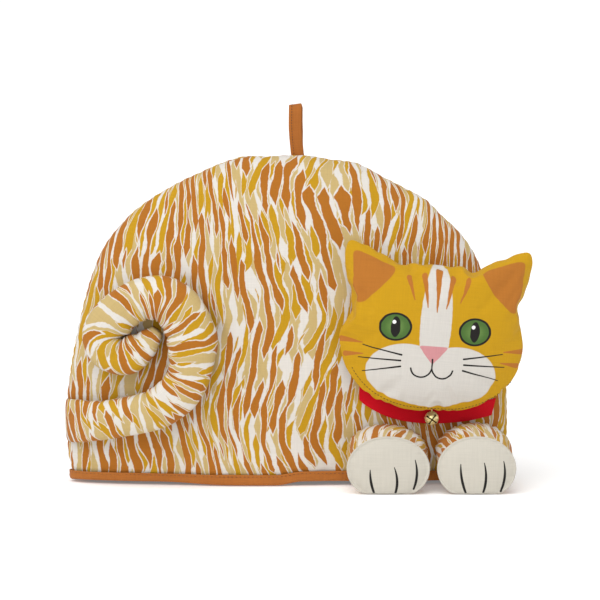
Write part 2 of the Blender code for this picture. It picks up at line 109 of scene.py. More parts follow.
# the tail's middle line on the front panel, from the side seam to the tip
TAIL = (
    # round,  z,     width,  thickness   (round: from the left side seam)
    (0.0000, 0.0500, 0.0400, 0.0030),
    (0.0080, 0.0500, 0.0370, 0.0060),
    (0.0170, 0.0505, 0.0345, 0.0105),
    (0.0270, 0.0515, 0.0336, 0.0145),
    (0.0385, 0.0529, 0.0327, 0.0170),
    (0.0520, 0.0556, 0.0320, 0.0190),
    (0.0665, 0.0586, 0.0318, 0.0200),
    (0.0835, 0.0641, 0.0325, 0.0210),
    (0.0965, 0.0734, 0.0330, 0.0215),
    (0.1060, 0.0868, 0.0340, 0.0215),
    (0.1075, 0.1029, 0.0363, 0.0215),
    (0.1045, 0.1185, 0.0380, 0.0215),
    (0.0950, 0.1355, 0.0371, 0.0210),
    (0.0775, 0.1477, 0.0356, 0.0210),
    (0.0605, 0.1474, 0.0328, 0.0205),
    (0.0474, 0.1389, 0.0325, 0.0205),
    (0.0396, 0.1265, 0.0360, 0.0200),
    (0.0403, 0.1145, 0.0375, 0.0195),
    (0.0490, 0.1061, 0.0350, 0.0190),
    (0.0595, 0.1056, 0.0305, 0.0180),
    (0.0679, 0.1110, 0.0240, 0.0165),
    (0.0733, 0.1180, 0.0170, 0.0135),
    (0.0764, 0.1235, 0.0105, 0.0100),
)
GATHER = 0.62              # share of a bend's radius that the tail's inside keeps
# how the sewn seam strays from the even arch
ARCH = (
    # x,      out
    (-0.1600, 0.0000),
    (-0.1420, 0.0014),
    (-0.1210, 0.0020),
    (-0.1010, 0.0008),
    (-0.0700, -0.0009),
    (-0.0347, 0.0026),
    (-0.0158, 0.0002),
    (0.0158, 0.0010),
    (0.0332, 0.0000),
    (0.0537, 0.0018),
    (0.0759, -0.0018),
    (0.0917, -0.0009),
    (0.1083, 0.0010),
    (0.1217, -0.0011),
    (0.1359, 0.0002),
    (0.1485, 0.0000),
)
# middle line of the collar on the front panel
COLLAR = (
    # x,     z
    (0.0560, 0.0770),
    (0.0656, 0.0688),
    (0.0813, 0.0608),
    (0.0994, 0.0567),
    (0.1220, 0.0557),
    (0.1425, 0.0574),
    (0.1590, 0.0606),
)
# stations of a paw, from the body to the cream front
PAW = (
    # y,      half_width, low,     high   (share of the paw's own width)
    (0.0000, 0.970, 0.0075, 0.0500),
    (-0.0330, 0.980, 0.0045, 0.0500),
    (-0.0480, 1.000, -0.0015, 0.0482),
    (-0.0600, 1.000, -0.0030, 0.0460),
    (-0.0665, 0.985, -0.0030, 0.0445),
)
PAWS = (
    # side,  x,      half_width
    ("left", 0.0773, 0.0318),
    ("right", 0.1452, 0.0302),
)
# toe lines of each paw: foot and head of each tapered stroke, from the paw's middle, mm
TOES = {
    # x, z of the foot, x, z of the head, bow
    "left": ((-11.0, 1.5, -14.0, 19.5, -0.9), (5.5, 1.5, 4.5, 21.5, 1.6),
             (19.5, 4.5, 20.5, 27.0, 1.8)),
    "right": ((-8.5, 1.5, -12.5, 24.0, -1.2), (5.0, 2.0, 5.5, 25.0, 1.6),
              (18.5, 2.5, 20.5, 26.0, 1.8)),
}


# ------------------------------------------------------------------- curves
def smooth(points, steps, closed=False):
    """Centripetal Catmull-Rom curve through the rows of a table."""
    p = np.asarray(points, float)
    if closed:
        p = np.vstack([p[-1], p, p[0], p[1]])
    else:
        p = np.vstack([2 * p[0] - p[1], p, 2 * p[-1] - p[-2]])
    out = []
    for a, b, c, d in zip(p[:-3], p[1:-2], p[2:-1], p[3:]):
        t = [0.0]
        for q, r in ((a, b), (b, c), (c, d)):
            t.append(t[-1] + max(np.linalg.norm(r - q), 1e-9) ** 0.5)
        for u in np.linspace(t[1], t[2], steps, endpoint=False):
            a1 = (t[1] - u) / (t[1] - t[0]) * a + (u - t[0]) / (t[1] - t[0]) * b
            a2 = (t[2] - u) / (t[2] - t[1]) * b + (u - t[1]) / (t[2] - t[1]) * c
            a3 = (t[3] - u) / (t[3] - t[2]) * c + (u - t[2]) / (t[3] - t[2]) * d
            b1 = (t[2] - u) / (t[2] - t[0]) * a1 + (u - t[0]) / (t[2] - t[0]) * a2
            b2 = (t[3] - u) / (t[3] - t[1]) * a2 + (u - t[1]) / (t[3] - t[1]) * a3
            out.append((t[2] - u) / (t[2] - t[1]) * b1
                       + (u - t[1]) / (t[2] - t[1]) * b2)
    if not closed:
        out.append(p[-2])
    return np.array(out)


def run_of(p):
    """Distance run along a line of points."""
    return np.concatenate([[0.0], np.cumsum(np.linalg.norm(np.diff(p, axis=0), axis=1))])


def even(p, count, closed=False):
    """The same line with its points at even distances."""
    q = np.vstack([p, p[:1]]) if closed else p
    r = run_of(q)
    s = np.linspace(0, r[-1], count + 1)[:-1] if closed else np.linspace(0, r[-1], count)
    return np.stack([np.interp(s, r, q[:, k]) for k in range(q.shape[1])], -1)


def dome_profile():
    rows = [np.array(r) for r in DOME]
    past = rows[-2] * np.array([1, -1, -1, -1])
    dense = smooth(rows + [past], 60)
    return dense[:int(np.argmax(dense[:, 0])) + 1]


PROFILE = dome_profile()


def section(z):
    return tuple(np.interp(z, PROFILE[:, 0], PROFILE[:, i]) for i in (1, 2, 3))


def wave(x, z):
    total = 0.0
    for x0, out, spread, height in WAVES:
        total = total + out * np.exp(-((x - x0) / spread) ** 2) \
            * np.exp(-(np.maximum(z, 0) / height) ** 2)
    return total


def skin(turn, z, wfb=None):
    """Points of the dome's outside. turn 0 is the left seam, pi/2 mid-front."""
    turn, z = np.broadcast_arrays(np.asarray(turn, float), np.asarray(z, float))
    w, f, b = section(z) if wfb is None else wfb
    x = -w * np.cos(turn)
    s = np.sin(turn)
    body = np.abs(s) ** ROUND
    y = np.where(s >= 0, -(f + wave(x, z) * np.abs(s)) * body, b * body)
    return np.stack([x, y, z], -1)


def front_y(x, z):
    w, f, _ = section(z)
    s = np.sqrt(np.maximum(1 - (x / w) ** 2, 0))
    return -(f + wave(x, z) * s) * s ** ROUND


def on_front(along, z):
    """Points of the front panel at distances round from the left seam, and normals."""
    turns = np.linspace(0, math.pi, 361)

    def at(a, height):
        pts = skin(turns[None, :], height[:, None])
        run = np.concatenate([np.zeros((len(height), 1)), np.cumsum(
            np.linalg.norm(np.diff(pts, axis=1), axis=2), axis=1)], axis=1)
        return np.array([[np.interp(q, r, p[:, k]) for k in range(3)]
                         for q, r, p in zip(a, run, pts)])
    a = np.maximum(along, 0)
    here = at(a, z)
    side = at(a + 0.004, z) - at(np.maximum(a, 0.002) - 0.002, z)
    rise = at(a, z + 0.002) - here
    n = np.cross(side, rise)
    return here, n / np.linalg.norm(n, axis=1, keepdims=True)


# the front hem is off the ground at its ends: lift, where it starts, where it is full,
# height above which the cloth is still
LIFTS = (
    # lift,   from x,  to x,    height
    (0.0023, -0.0480, -0.1000, 0.0105),
    (0.0030, -0.0100, 0.0120, 0.0450),
)


def lifted(p):
    """The hem's lower edge where the front rolls up off the ground."""
    out = p.copy()
    front = step(0.006, -0.006, p[..., 1])
    for lift, x0, x1, height in LIFTS:
        out[..., 2] += lift * step(x0, x1, p[..., 0]) * front \
            * np.clip(1 - p[..., 2] / height, 0, 1)
    return out


def stray(p, seam):
    """How far the points of a panel are carried by the sewn seam, and their distance to it."""
    d, place_on = near(p, seam)
    run = run_of(seam)
    x, z = seam[:, 0], seam[:, 2]
    out = np.interp(x, [r[0] for r in ARCH], [r[1] for r in ARCH]) * step(0.125, 0.160, z)
    out += 0.0021 * bump(z - 0.048, 0.034) * step(0.008, 0.022, z) * (x < 0)
    t = np.gradient(seam[:, [0, 2]], axis=0)
    t /= np.linalg.norm(t, axis=1, keepdims=True)
    n = np.stack([-t[:, 1], t[:, 0]], -1)
    wide = np.interp(place_on, run, n[:, 0] * out)
    tall = np.interp(place_on, run, n[:, 1] * out)
    return np.stack([wide, 0 * wide, tall], -1) * bump(d, 0.030)[..., None], d, place_on


# -------------------------------------------------------------------- noise
def lattice(i, j, k, seed):
    h = (i * 73856093) ^ (j * 19349663) ^ (k * 83492791) ^ (seed * 40503 + 977)
    h = h & 0xffffffff
    h = ((h ^ (h >> 15)) * 739982445) & 0xffffffff
    h = ((h ^ (h >> 12)) * 695872825) & 0xffffffff
    h = h ^ (h >> 15)
    return h / 2.0 ** 31 - 1.0


def noise(p, size, seed=0):
    """Smooth noise between -1 and 1 with lumps of this size."""
    q = np.asarray(p, float) / size + 1000.0
    i = np.floor(q).astype(np.int64)
    f = q - i
    f = f * f * (3 - 2 * f)
    out = 0.0
    for dx in (0, 1):
        for dy in (0, 1):
            for dz in (0, 1):
                w = (f[..., 0] if dx else 1 - f[..., 0]) \
                    * (f[..., 1] if dy else 1 - f[..., 1]) \
                    * (f[..., 2] if dz else 1 - f[..., 2])
                out = out + w * lattice(i[..., 0] + dx, i[..., 1] + dy, i[..., 2] + dz, seed)
    return out


def line_noise(s, size, seed=0):
    s = np.asarray(s, float)
    return noise(np.stack([s, s * 0 + 0.37 * size, s * 0 + 0.71 * size], -1), size, seed)


def step(a, b, x):
    u = np.clip((x - a) / (b - a), 0, 1)
    return u * u * (3 - 2 * u)


def bump(x, width):
    return np.exp(-(x / width) ** 2)


def near(points, curve):
    """Distance of each point to a dense line, and the run of the nearest place."""
    run = run_of(curve)
    flat = points.reshape(-1, 3)
    dist, place = [], []
    for part in np.array_split(flat, max(1, len(flat) * len(curve) // 3000000 + 1)):
        d = ((part[:, None, :] - curve[None]) ** 2).sum(-1)
        k = d.argmin(1)
        dist.append(np.sqrt(d[np.arange(len(part)), k]))
        place.append(run[k])
    return (np.concatenate(dist).reshape(points.shape[:-1]),
            np.concatenate(place).reshape(points.shape[:-1]))


# -------------------------------------------------------------- mesh building
class Shape:
    """Collects the points, faces, cloth coordinates and materials of one piece."""

    def __init__(self):
        self.v, self.f, self.uv, self.m, self.n = [], [], [], [], 0

    def points(self, p):
        p = np.asarray(p, float).reshape(-1, 3)
        start = self.n
        self.v.append(p)
        self.n += len(p)
        return start

    def faces(self, faces, uv, m=0):
        for f, c in zip(np.asarray(faces).tolist(), np.asarray(uv, float).tolist()):
            self.f.append(f)
            self.uv.extend(c)
            self.m.append(m)

    def grid(self, p, uv, around=False, m=0, start=None):
        """Quads over rows of points. uv has one more column when it goes around."""
        rows, cols = p.shape[:2]
        if start is None:
            start = self.points(p)
        j, i = np.meshgrid(np.arange(rows - 1), np.arange(cols if around else cols - 1),
                           indexing="ij")
        k = (i + 1) % cols
        quads = np.stack([j * cols + i, j * cols + k, (j + 1) * cols + k,
                          (j + 1) * cols + i], -1).reshape(-1, 4) + start
        corner = np.stack([uv[j, i], uv[j, i + 1], uv[j + 1, i + 1], uv[j + 1, i]],
                          -2).reshape(-1, 4, 2)
        self.faces(quads, corner, m)
        return start

    def fan(self, ring, pole, uv_ring, uv_pole, m=0, close=True):
        """Triangles from a ring of point numbers to one point."""
        mid = self.points(pole)
        n = len(ring)
        count = n if close else n - 1
        for i in range(count):
            k = (i + 1) % n
            self.f.append([int(ring[i]), int(ring[k]), mid])
            self.uv.extend([list(uv_ring[i]), list(uv_ring[i + 1 if close else k]),
                            list(uv_pole)])
            self.m.append(m)
        return mid

    def build(self, name, mats, crease=50, hem=False):
        me = bpy.data.meshes.new(name)
        v = np.vstack(self.v)
        v = (lifted(v) if hem else v) - ORIGIN
        me.from_pydata(v.tolist(), [], self.f)
        me.update()
        layer = me.uv_layers.new(name="cloth")
        layer.data.foreach_set("uv", np.asarray(self.uv, np.float32).ravel())
        for mat in mats:
            me.materials.append(mat)
        me.polygons.foreach_set("material_index", np.asarray(self.m, np.int32))
        obj = bpy.data.objects.new(name, me)
        bpy.context.scene.collection.objects.link(obj)
        bm = bmesh.new()
        bm.from_mesh(me)
        bmesh.ops.recalc_face_normals(bm, faces=bm.faces)
        if bm.calc_volume(signed=True) < 0:
            bmesh.ops.reverse_faces(bm, faces=bm.faces)
        bm.to_mesh(me)
        bm.free()
        me.shade_smooth()
        me.set_sharp_from_angle(angle=math.radians(crease))
        return obj


def place(obj, node, slot):
    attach(obj, "root")
    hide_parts(node)
    return obj


def surface(obj):
    """The piece's surface, to lay other pieces on."""
    bpy.context.view_layer.update()
    me = obj.data
    v = np.empty(len(me.vertices) * 3)
    me.vertices.foreach_get("co", v)
    v = v.reshape(-1, 3) + ORIGIN
    return BVHTree.FromPolygons(v.tolist(), [list(p.vertices) for p in me.polygons])


def cast(tree, points, ray=(0, 1, 0), back=0.2):
    """Where rays through these points meet a surface, and its normals there."""
    d = Vector(ray).normalized()
    hits, normals = [], []
    for p in points:
        at, n, _, _ = tree.ray_cast(Vector(p) - d * back, d)
        if at is None:
            at, n = (math.nan,) * 3, -d
        elif n.dot(d) > 0:
            n = -n
        hits.append(at)
        normals.append(n)
    return np.array(hits), np.array(normals)


def stitches(shape, mids, aheads, outs, length, width, high, m):
    """Short raised threads, each a small capsule half sunk in the cloth."""
    along = np.array([-1.0, -0.86, -0.5, 0.0, 0.5, 0.86, 1.0])
    size = np.sqrt(np.maximum(1 - along ** 2, 0.02)) ** 0.7
    t = np.arange(6) / 6 * 2 * math.pi
    for c, a, o in zip(mids, aheads, outs):
        a = a / np.linalg.norm(a)
        o = o - a * np.dot(o, a)
        o = o / np.linalg.norm(o)
        s = np.cross(a, o)
        ring = (c + a * (along[:, None, None] * length / 2)
                + s * (np.cos(t)[None, :, None] * size[:, None, None] * width / 2)
                + o * (np.sin(t)[None, :, None] * size[:, None, None] * high
                       - np.abs(along)[:, None, None] ** 3 * high * 0.8))
        uv = np.zeros((7, 7, 2))
        uv[..., 0] = along[:, None] * length
        start = shape.grid(ring, uv, around=True, m=m)
        shape.faces([[start + i for i in range(6)]], np.zeros((1, 6, 2)), m)
        shape.faces([[start + 36 + i for i in range(6)]], np.zeros((1, 6, 2)), m)


# ------------------------------------------------------------------ materials
class Net:
    """A material's node tree, with numbers that can be added and multiplied."""

    def __init__(self, name, rough, colour=None, metal=0.0, sheen=0.0):
        self.mat = bpy.data.materials.new(name)
        self.mat.use_nodes = True
        self.tree = self.mat.node_tree
        self.shader = self.tree.nodes["Principled BSDF"]
        self.shader.inputs["Roughness"].default_value = rough
        self.shader.inputs["Metallic"].default_value = metal
        self.shader.inputs["Specular IOR Level"].default_value = 0.25 if not metal else 0.5
        if sheen:
            self.shader.inputs["Sheen Weight"].default_value = sheen
            self.shader.inputs["Sheen Roughness"].default_value = 0.45
        if colour is not None:
            self.shader.inputs["Base Color"].default_value = (*colour, 1)

    def node(self, kind, **props):
        n = self.tree.nodes.new(kind)
        for key, value in props.items():
            setattr(n, key, value)
        return n

    def link(self, a, b):
        self.tree.links.new(a, b)

    def put(self, value, socket):
        if isinstance(value, Num):
            self.link(value.s, socket)
        elif isinstance(value, bpy.types.NodeSocket):
            self.link(value, socket)
        elif isinstance(value, (tuple, list)):
            socket.default_value = (*value, 1) if len(value) == 3 \
                and len(socket.default_value) == 4 else value
        else:
            socket.default_value = value

    def math(self, op, a, b=None, c=None, clamp=False):
        n = self.node("ShaderNodeMath", operation=op, use_clamp=clamp)
        for k, value in enumerate((a, b, c)):
            if value is not None:
                self.put(value, n.inputs[k])
        return Num(self, n.outputs[0])

    def cloth(self):
        """The cloth's own coordinates, in millimetres."""
        uv = self.node("ShaderNodeUVMap", uv_map="cloth")
        sep = self.node("ShaderNodeSeparateXYZ")
        self.link(uv.outputs[0], sep.inputs[0])
        return Num(self, sep.outputs[0]) * 1000.0, Num(self, sep.outputs[1]) * 1000.0

    def vec(self, x, y, z=0.0):
        n = self.node("ShaderNodeCombineXYZ")
        for k, value in enumerate((x, y, z)):
            self.put(value, n.inputs[k])
        return n.outputs[0]

    def noise(self, x, y, detail=0.0, rough=0.5):
        n = self.node("ShaderNodeTexNoise", noise_dimensions="2D")
        self.link(self.vec(x, y), n.inputs["Vector"])
        n.inputs["Scale"].default_value = 1.0
        n.inputs["Detail"].default_value = detail
        n.inputs["Roughness"].default_value = rough
        return Num(self, n.outputs[0])

    def step(self, a, b, x):
        n = self.node("ShaderNodeMapRange", interpolation_type="SMOOTHSTEP")
        self.put(x, n.inputs["Value"])
        n.inputs["From Min"].default_value = a
        n.inputs["From Max"].default_value = b
        n.inputs["To Min"].default_value = 0.0
        n.inputs["To Max"].default_value = 1.0
        return Num(self, n.outputs[0])

    def mix(self, share, a, b):
        n = self.node("ShaderNodeMix", data_type="RGBA")
        self.put(share, n.inputs[0])
        self.put(a, n.inputs[6])
        self.put(b, n.inputs[7])
        return n.outputs[2]

    def scale(self, colour, by):
        n = self.node("ShaderNodeVectorMath", operation="SCALE")
        self.put(colour, n.inputs[0])
        self.put(by, n.inputs["Scale"])
        return n.outputs[0]

    def finish(self, colour=None, height=None, depth=0.0, rough=None):
        if colour is not None:
            self.put(colour, self.shader.inputs["Base Color"])
        if rough is not None:
            self.put(rough, self.shader.inputs["Roughness"])
        if height is not None:
            n = self.node("ShaderNodeBump")
            n.inputs["Strength"].default_value = 1.0
            n.inputs["Distance"].default_value = depth
            self.put(height, n.inputs["Height"])
            self.link(n.outputs[0], self.shader.inputs["Normal"])
        return self.mat


class Num:
    def __init__(self, net, socket):
        self.net, self.s = net, socket

    def __add__(self, o): return self.net.math("ADD", self, o)
    def __radd__(self, o): return self.net.math("ADD", o, self)
    def __sub__(self, o): return self.net.math("SUBTRACT", self, o)
    def __rsub__(self, o): return self.net.math("SUBTRACT", o, self)
    def __mul__(self, o): return self.net.math("MULTIPLY", self, o)
    def __rmul__(self, o): return self.net.math("MULTIPLY", o, self)
    def __truediv__(self, o): return self.net.math("DIVIDE", self, o)
    def __neg__(self): return self.net.math("MULTIPLY", self, -1.0)
    def abs(self): return self.net.math("ABSOLUTE", self)
    def floor(self): return self.net.math("FLOOR", self)
    def fract(self): return self.net.math("FRACT", self)
    def sqrt(self): return self.net.math("SQRT", self)
    def min(self, o): return self.net.math("MINIMUM", self, o)
    def max(self, o): return self.net.math("MAXIMUM", self, o)
    def sin(self): return self.net.math("SINE", self)


def weave(net, a, b, pitch=0.42):
    """Height of a plain weave: threads pass over and under each other."""
    return (a * (math.pi / pitch)).sin() * (b * (math.pi / pitch)).sin()


def slub(net, a, b, amount=0.05):
    """Uneven yarns: a factor near 1 that changes from thread to thread."""
    n = net.noise(a * 1.3, b * 0.05) + net.noise(a * 0.05, b * 1.3)
    return n * (amount * 1.7) + (1.0 - amount * 1.7)


# colours, linear
OFF_WHITE = (0.650, 0.615, 0.567)
RUST = (0.380, 0.130, 0.010)
MUSTARD = (0.470, 0.255, 0.005)
TAN = (0.502, 0.368, 0.152)
BINDING = (0.395, 0.132, 0.023)
CREAM = (0.530, 0.498, 0.430)
YELLOW = (0.508, 0.276, 0.004)
BLACK = (0.012, 0.010, 0.009)


def printed_cotton():
    """Off-white cotton printed with tapered fur strokes in wavy columns."""
    net = Net("printed_cotton", 0.85, sheen=0.08)
    a, b = net.cloth()
    sway = (net.noise(a * 0.009, b * 0.011) - 0.5) * 40.0
    jitter = (net.noise(a * 0.075, b * 0.050) - 0.5) * 2.6
    swing = (net.noise(a * 0.014 + 7.0, b * 0.020) - 0.5) * 20.0
    ragged = (net.noise(a * 0.35, b * 0.28, detail=1.0) - 0.5) * 0.11
    layers = (
        # pitch, shift, stroke length, fill, size, colour, seed, lean, swing
        (9.4, 0.15, 44.0, 0.29, 2.6, TAN, 3.1, 0.10, -0.4),
        (7.6, 0.62, 40.0, 0.43, 3.0, MUSTARD, 11.7, -0.10, 0.5),
        (7.0, 0.30, 42.0, 0.45, 3.0, None, 23.9, 0.04, 0.15),
    )
    colour = OFF_WHITE
    for pitch, shift, length, fill, size, ink, seed, lean, share in layers:
        v = (a + sway + jitter + swing * share + b * lean) / pitch + shift
        column = v.floor()
        drift = (net.noise(column * 7.9 + seed, b * 0.055) - 0.5) * 0.42
        f = (v.fract() - 0.5 + drift).abs()
        w = (net.noise(column * 17.37 + seed, b / length + column * 3.71)
             - fill) * size
        w = w.min((net.noise(column * 5.31 + seed, b * 0.055) - 0.5) * 0.34 + 0.35)
        w = w + ragged
        net_white = 0.10 if ink is None else 0.06
        colour = net.mix(net.step(-0.02, 0.04, w + net_white - f), colour, OFF_WHITE)
        if ink is None:
            ink = RUST
        colour = net.mix(net.step(-0.02, 0.04, w - f), colour, ink)
    colour = net.scale(colour, slub(net, a, b, 0.045))
    return net.finish(colour, weave(net, a, b), 0.00006)


def plain_cotton(name, colour, amount=0.06, pitch=0.42, rough=0.85, fade=0.0):
    net = Net(name, rough, sheen=0.08)
    a, b = net.cloth()
    shade = slub(net, a, b, amount)
    if fade:
        shade = shade * ((net.noise(a * 0.05, b * 0.05, detail=2.0) - 0.5) * fade + 1.0)
    return net.finish(net.scale(colour_node(net, colour), shade),
                      weave(net, a, b, pitch), 0.00006)


def colour_node(net, colour):
    n = net.node("ShaderNodeRGB")
    n.outputs[0].default_value = (*colour, 1)
    return n.outputs[0]


def ellipse(x, y, cx, cy, rx, ry):
    """Signed distance, near enough, to an ellipse."""
    u, v = (x - cx) / rx, (y - cy) / ry
    return ((u * u + v * v).sqrt() - 1.0) * min(rx, ry)


def stroke(x, y, x0, y0, x1, y1, r0, r1):
    """Signed distance to a straight stroke, r0 thick at its start and r1 at its end."""
    dx, dy = x1 - x0, y1 - y0
    q = dx * dx + dy * dy
    net = x.net
    h = net.math("MULTIPLY_ADD", x, dx / q, -(x0 * dx + y0 * dy) / q)
    h = net.math("MULTIPLY_ADD", y, dy / q, h, clamp=True)
    ex = net.math("MULTIPLY_ADD", h, -dx, x - x0)
    ey = net.math("MULTIPLY_ADD", h, -dy, y - y0)
    d = (ex * ex + ey * ey).sqrt()
    return d - net.math("MULTIPLY_ADD", h, r1 - r0, r0)


def edge_line(x, y, x0, y0, x1, y1):
    """Signed distance to the line through two points, positive on its right."""
    dx, dy = x1 - x0, y1 - y0
    n = math.hypot(dx, dy)
    net = x.net
    part = net.math("MULTIPLY_ADD", x, dy / n, -(x0 * dy - y0 * dx) / n)
    return net.math("MULTIPLY_ADD", y, -dx / n, part)


def three_sides(x, y, a, b, c, rounded, soft):
    d = x.net.math("SMOOTH_MAX", edge_line(x, y, *a, *b), edge_line(x, y, *b, *c), soft)
    return x.net.math("SMOOTH_MAX", d, edge_line(x, y, *c, *a), soft) - rounded


def face_cotton():
    """Mustard cotton with a plain, symmetric cat's face, drawn in millimetres."""
    net = Net("face_cotton", 0.85, sheen=0.08)
    x0, y0 = net.cloth()
    x0 = x0 + (net.noise(y0 * 0.25, x0 * 0.25) - 0.5) * 0.6
    x, y = x0.abs(), y0
    ink = lambda d, soft=0.16: net.step(soft, -soft, d)

    white = ellipse(x, y, 20, -29, 30, 22).min(ellipse(x, y, 0, -37, 38, 18)) \
        .min(ellipse(x, y, 0, 10, 12, 46))
    colour = net.mix(ink(white, 0.3), colour_node(net, YELLOW), (0.592, 0.563, 0.518))
    ears = three_sides(x, y, (63.0, 57.0), (36.0, 46.0), (57.0, 24.0), 2.6, 9.0)
    colour = net.mix(ink(ears, 0.3), colour, (0.412, 0.145, 0.018))
    rust = stroke(x, y, 0, 47, 0, 19, 2.6, 0.4)
    for row in ((11, 44, 7, 22, 2.2, 0.4), (23, 42, 17.5, 27, 2.0, 0.4),
                (70, -8, 55, -9, 2.3, 0.4), (66, -19, 53, -17.5, 2.1, 0.4)):
        rust = rust.min(stroke(x, y, *row))
    colour = net.mix(ink(rust, 0.2), colour, (0.420, 0.145, 0.020))
    # eyes
    eye = ellipse(x, y, 30.5, 5.5, 10.8, 9.4)
    lids = eye - 1.5
    colour = net.mix(ink(lids), colour, BLACK)
    green = net.mix(net.step(8.0, 2.0, ellipse(x, y, 30.5, 5.5, 10.8, 9.4) + 9.0),
                    (0.066, 0.142, 0.030), (0.115, 0.210, 0.050))
    colour = net.mix(ink(eye), colour, green)
    colour = net.mix(ink(ellipse(x, y, 30.5, 5.5, 3.6, 8.0)), colour, BLACK)
    colour = net.mix(ink(ellipse(x0 + 1.4, y, 30.5, 9.2, 1.5, 1.5)
                         .min(ellipse(x0 + 1.4, y, -30.5, 9.2, 1.5, 1.5))),
                     colour, (0.85, 0.85, 0.82))
    # nose, mouth and whiskers
    nose = three_sides(x0, y, (-5.2, -10.8), (0.0, -17.2), (5.2, -10.8), 3.2, 4.0)
    lines = stroke(x0, y, 0, -18, 0, -25, 0.75, 0.60)
    for row in ((24, -16.0, 54, -10.5, 0.70, 0.35), (24.5, -20.5, 56, -20.5, 0.70, 0.35),
                (24, -25.0, 52, -31.0, 0.70, 0.35)):
        lines = lines.min(stroke(x, y, *row))
    # each half of the mouth is the lower part of a circle
    u, v = x - 8.2, y + 24.0
    arc = ((u * u + v * v).sqrt() - 8.2).abs() - 0.62
    lines = lines.min(arc.max(v + 1.2))
    colour = net.mix(ink(nose), colour, (0.565, 0.250, 0.262))
    colour = net.mix(ink(lines), colour, BLACK)
    a, b = net.cloth()
    colour = net.scale(colour, slub(net, a, b, 0.04))
    return net.finish(colour, weave(net, a, b), 0.00006)


def paw_cotton(side):
    """Cream cotton with three plain toe lines."""
    net = Net("cream_cotton_" + side, 0.85, sheen=0.08)
    a, b = net.cloth()
    lines = None
    for x0, y0, x1, y1, bow in TOES[side]:
        t = net.math("MULTIPLY_ADD", b, 1.0 / (y1 - y0), -y0 / (y1 - y0), clamp=True)
        d = stroke(a - t * (1.0 - t) * (4.0 * bow), b, x0, y0, x1, y1, 0.85, 0.30) \
            - t * (1.0 - t) * 1.5
        lines = d if lines is None else lines.min(d)
    colour = net.mix(net.step(0.2, -0.15, lines), colour_node(net, CREAM), BLACK)
    colour = net.scale(colour, slub(net, a, b, 0.04))
    return net.finish(colour, weave(net, a, b), 0.00006)


def red_felt():
    net = Net("red_felt", 0.95, sheen=0.08)
    a, b = net.cloth()
    fuzz = net.noise(a * 2.2, b * 2.2, detail=4.0, rough=0.7)
    colour = net.scale(colour_node(net, (0.610, 0.001, 0.012)), fuzz * 0.5 + 0.75)
    return net.finish(colour, fuzz, 0.00025)


def gold_metal():
    net = Net("gold_metal", 0.24, metal=0.6)
    tc = net.node("ShaderNodeTexCoord")
    n = net.node("ShaderNodeTexNoise")
    net.link(tc.outputs["Object"], n.inputs["Vector"])
    n.inputs["Scale"].default_value = 900.0
    n.inputs["Detail"].default_value = 3.0
    grain = Num(net, n.outputs[0])
    colour = net.mix(grain, (1.0, 0.82, 0.30), (1.0, 0.94, 0.56))
    return net.finish(colour, grain, 0.00005, rough=grain * 0.25 + 0.12)


def thread(name, colour):
    net = Net(name, 0.6, sheen=0.1)
    a, b = net.cloth()
    twist = (a * (2 * math.pi / 0.55)).sin()
    return net.finish(net.scale(colour_node(net, colour), twist * 0.1 + 0.95), twist, 0.00008)


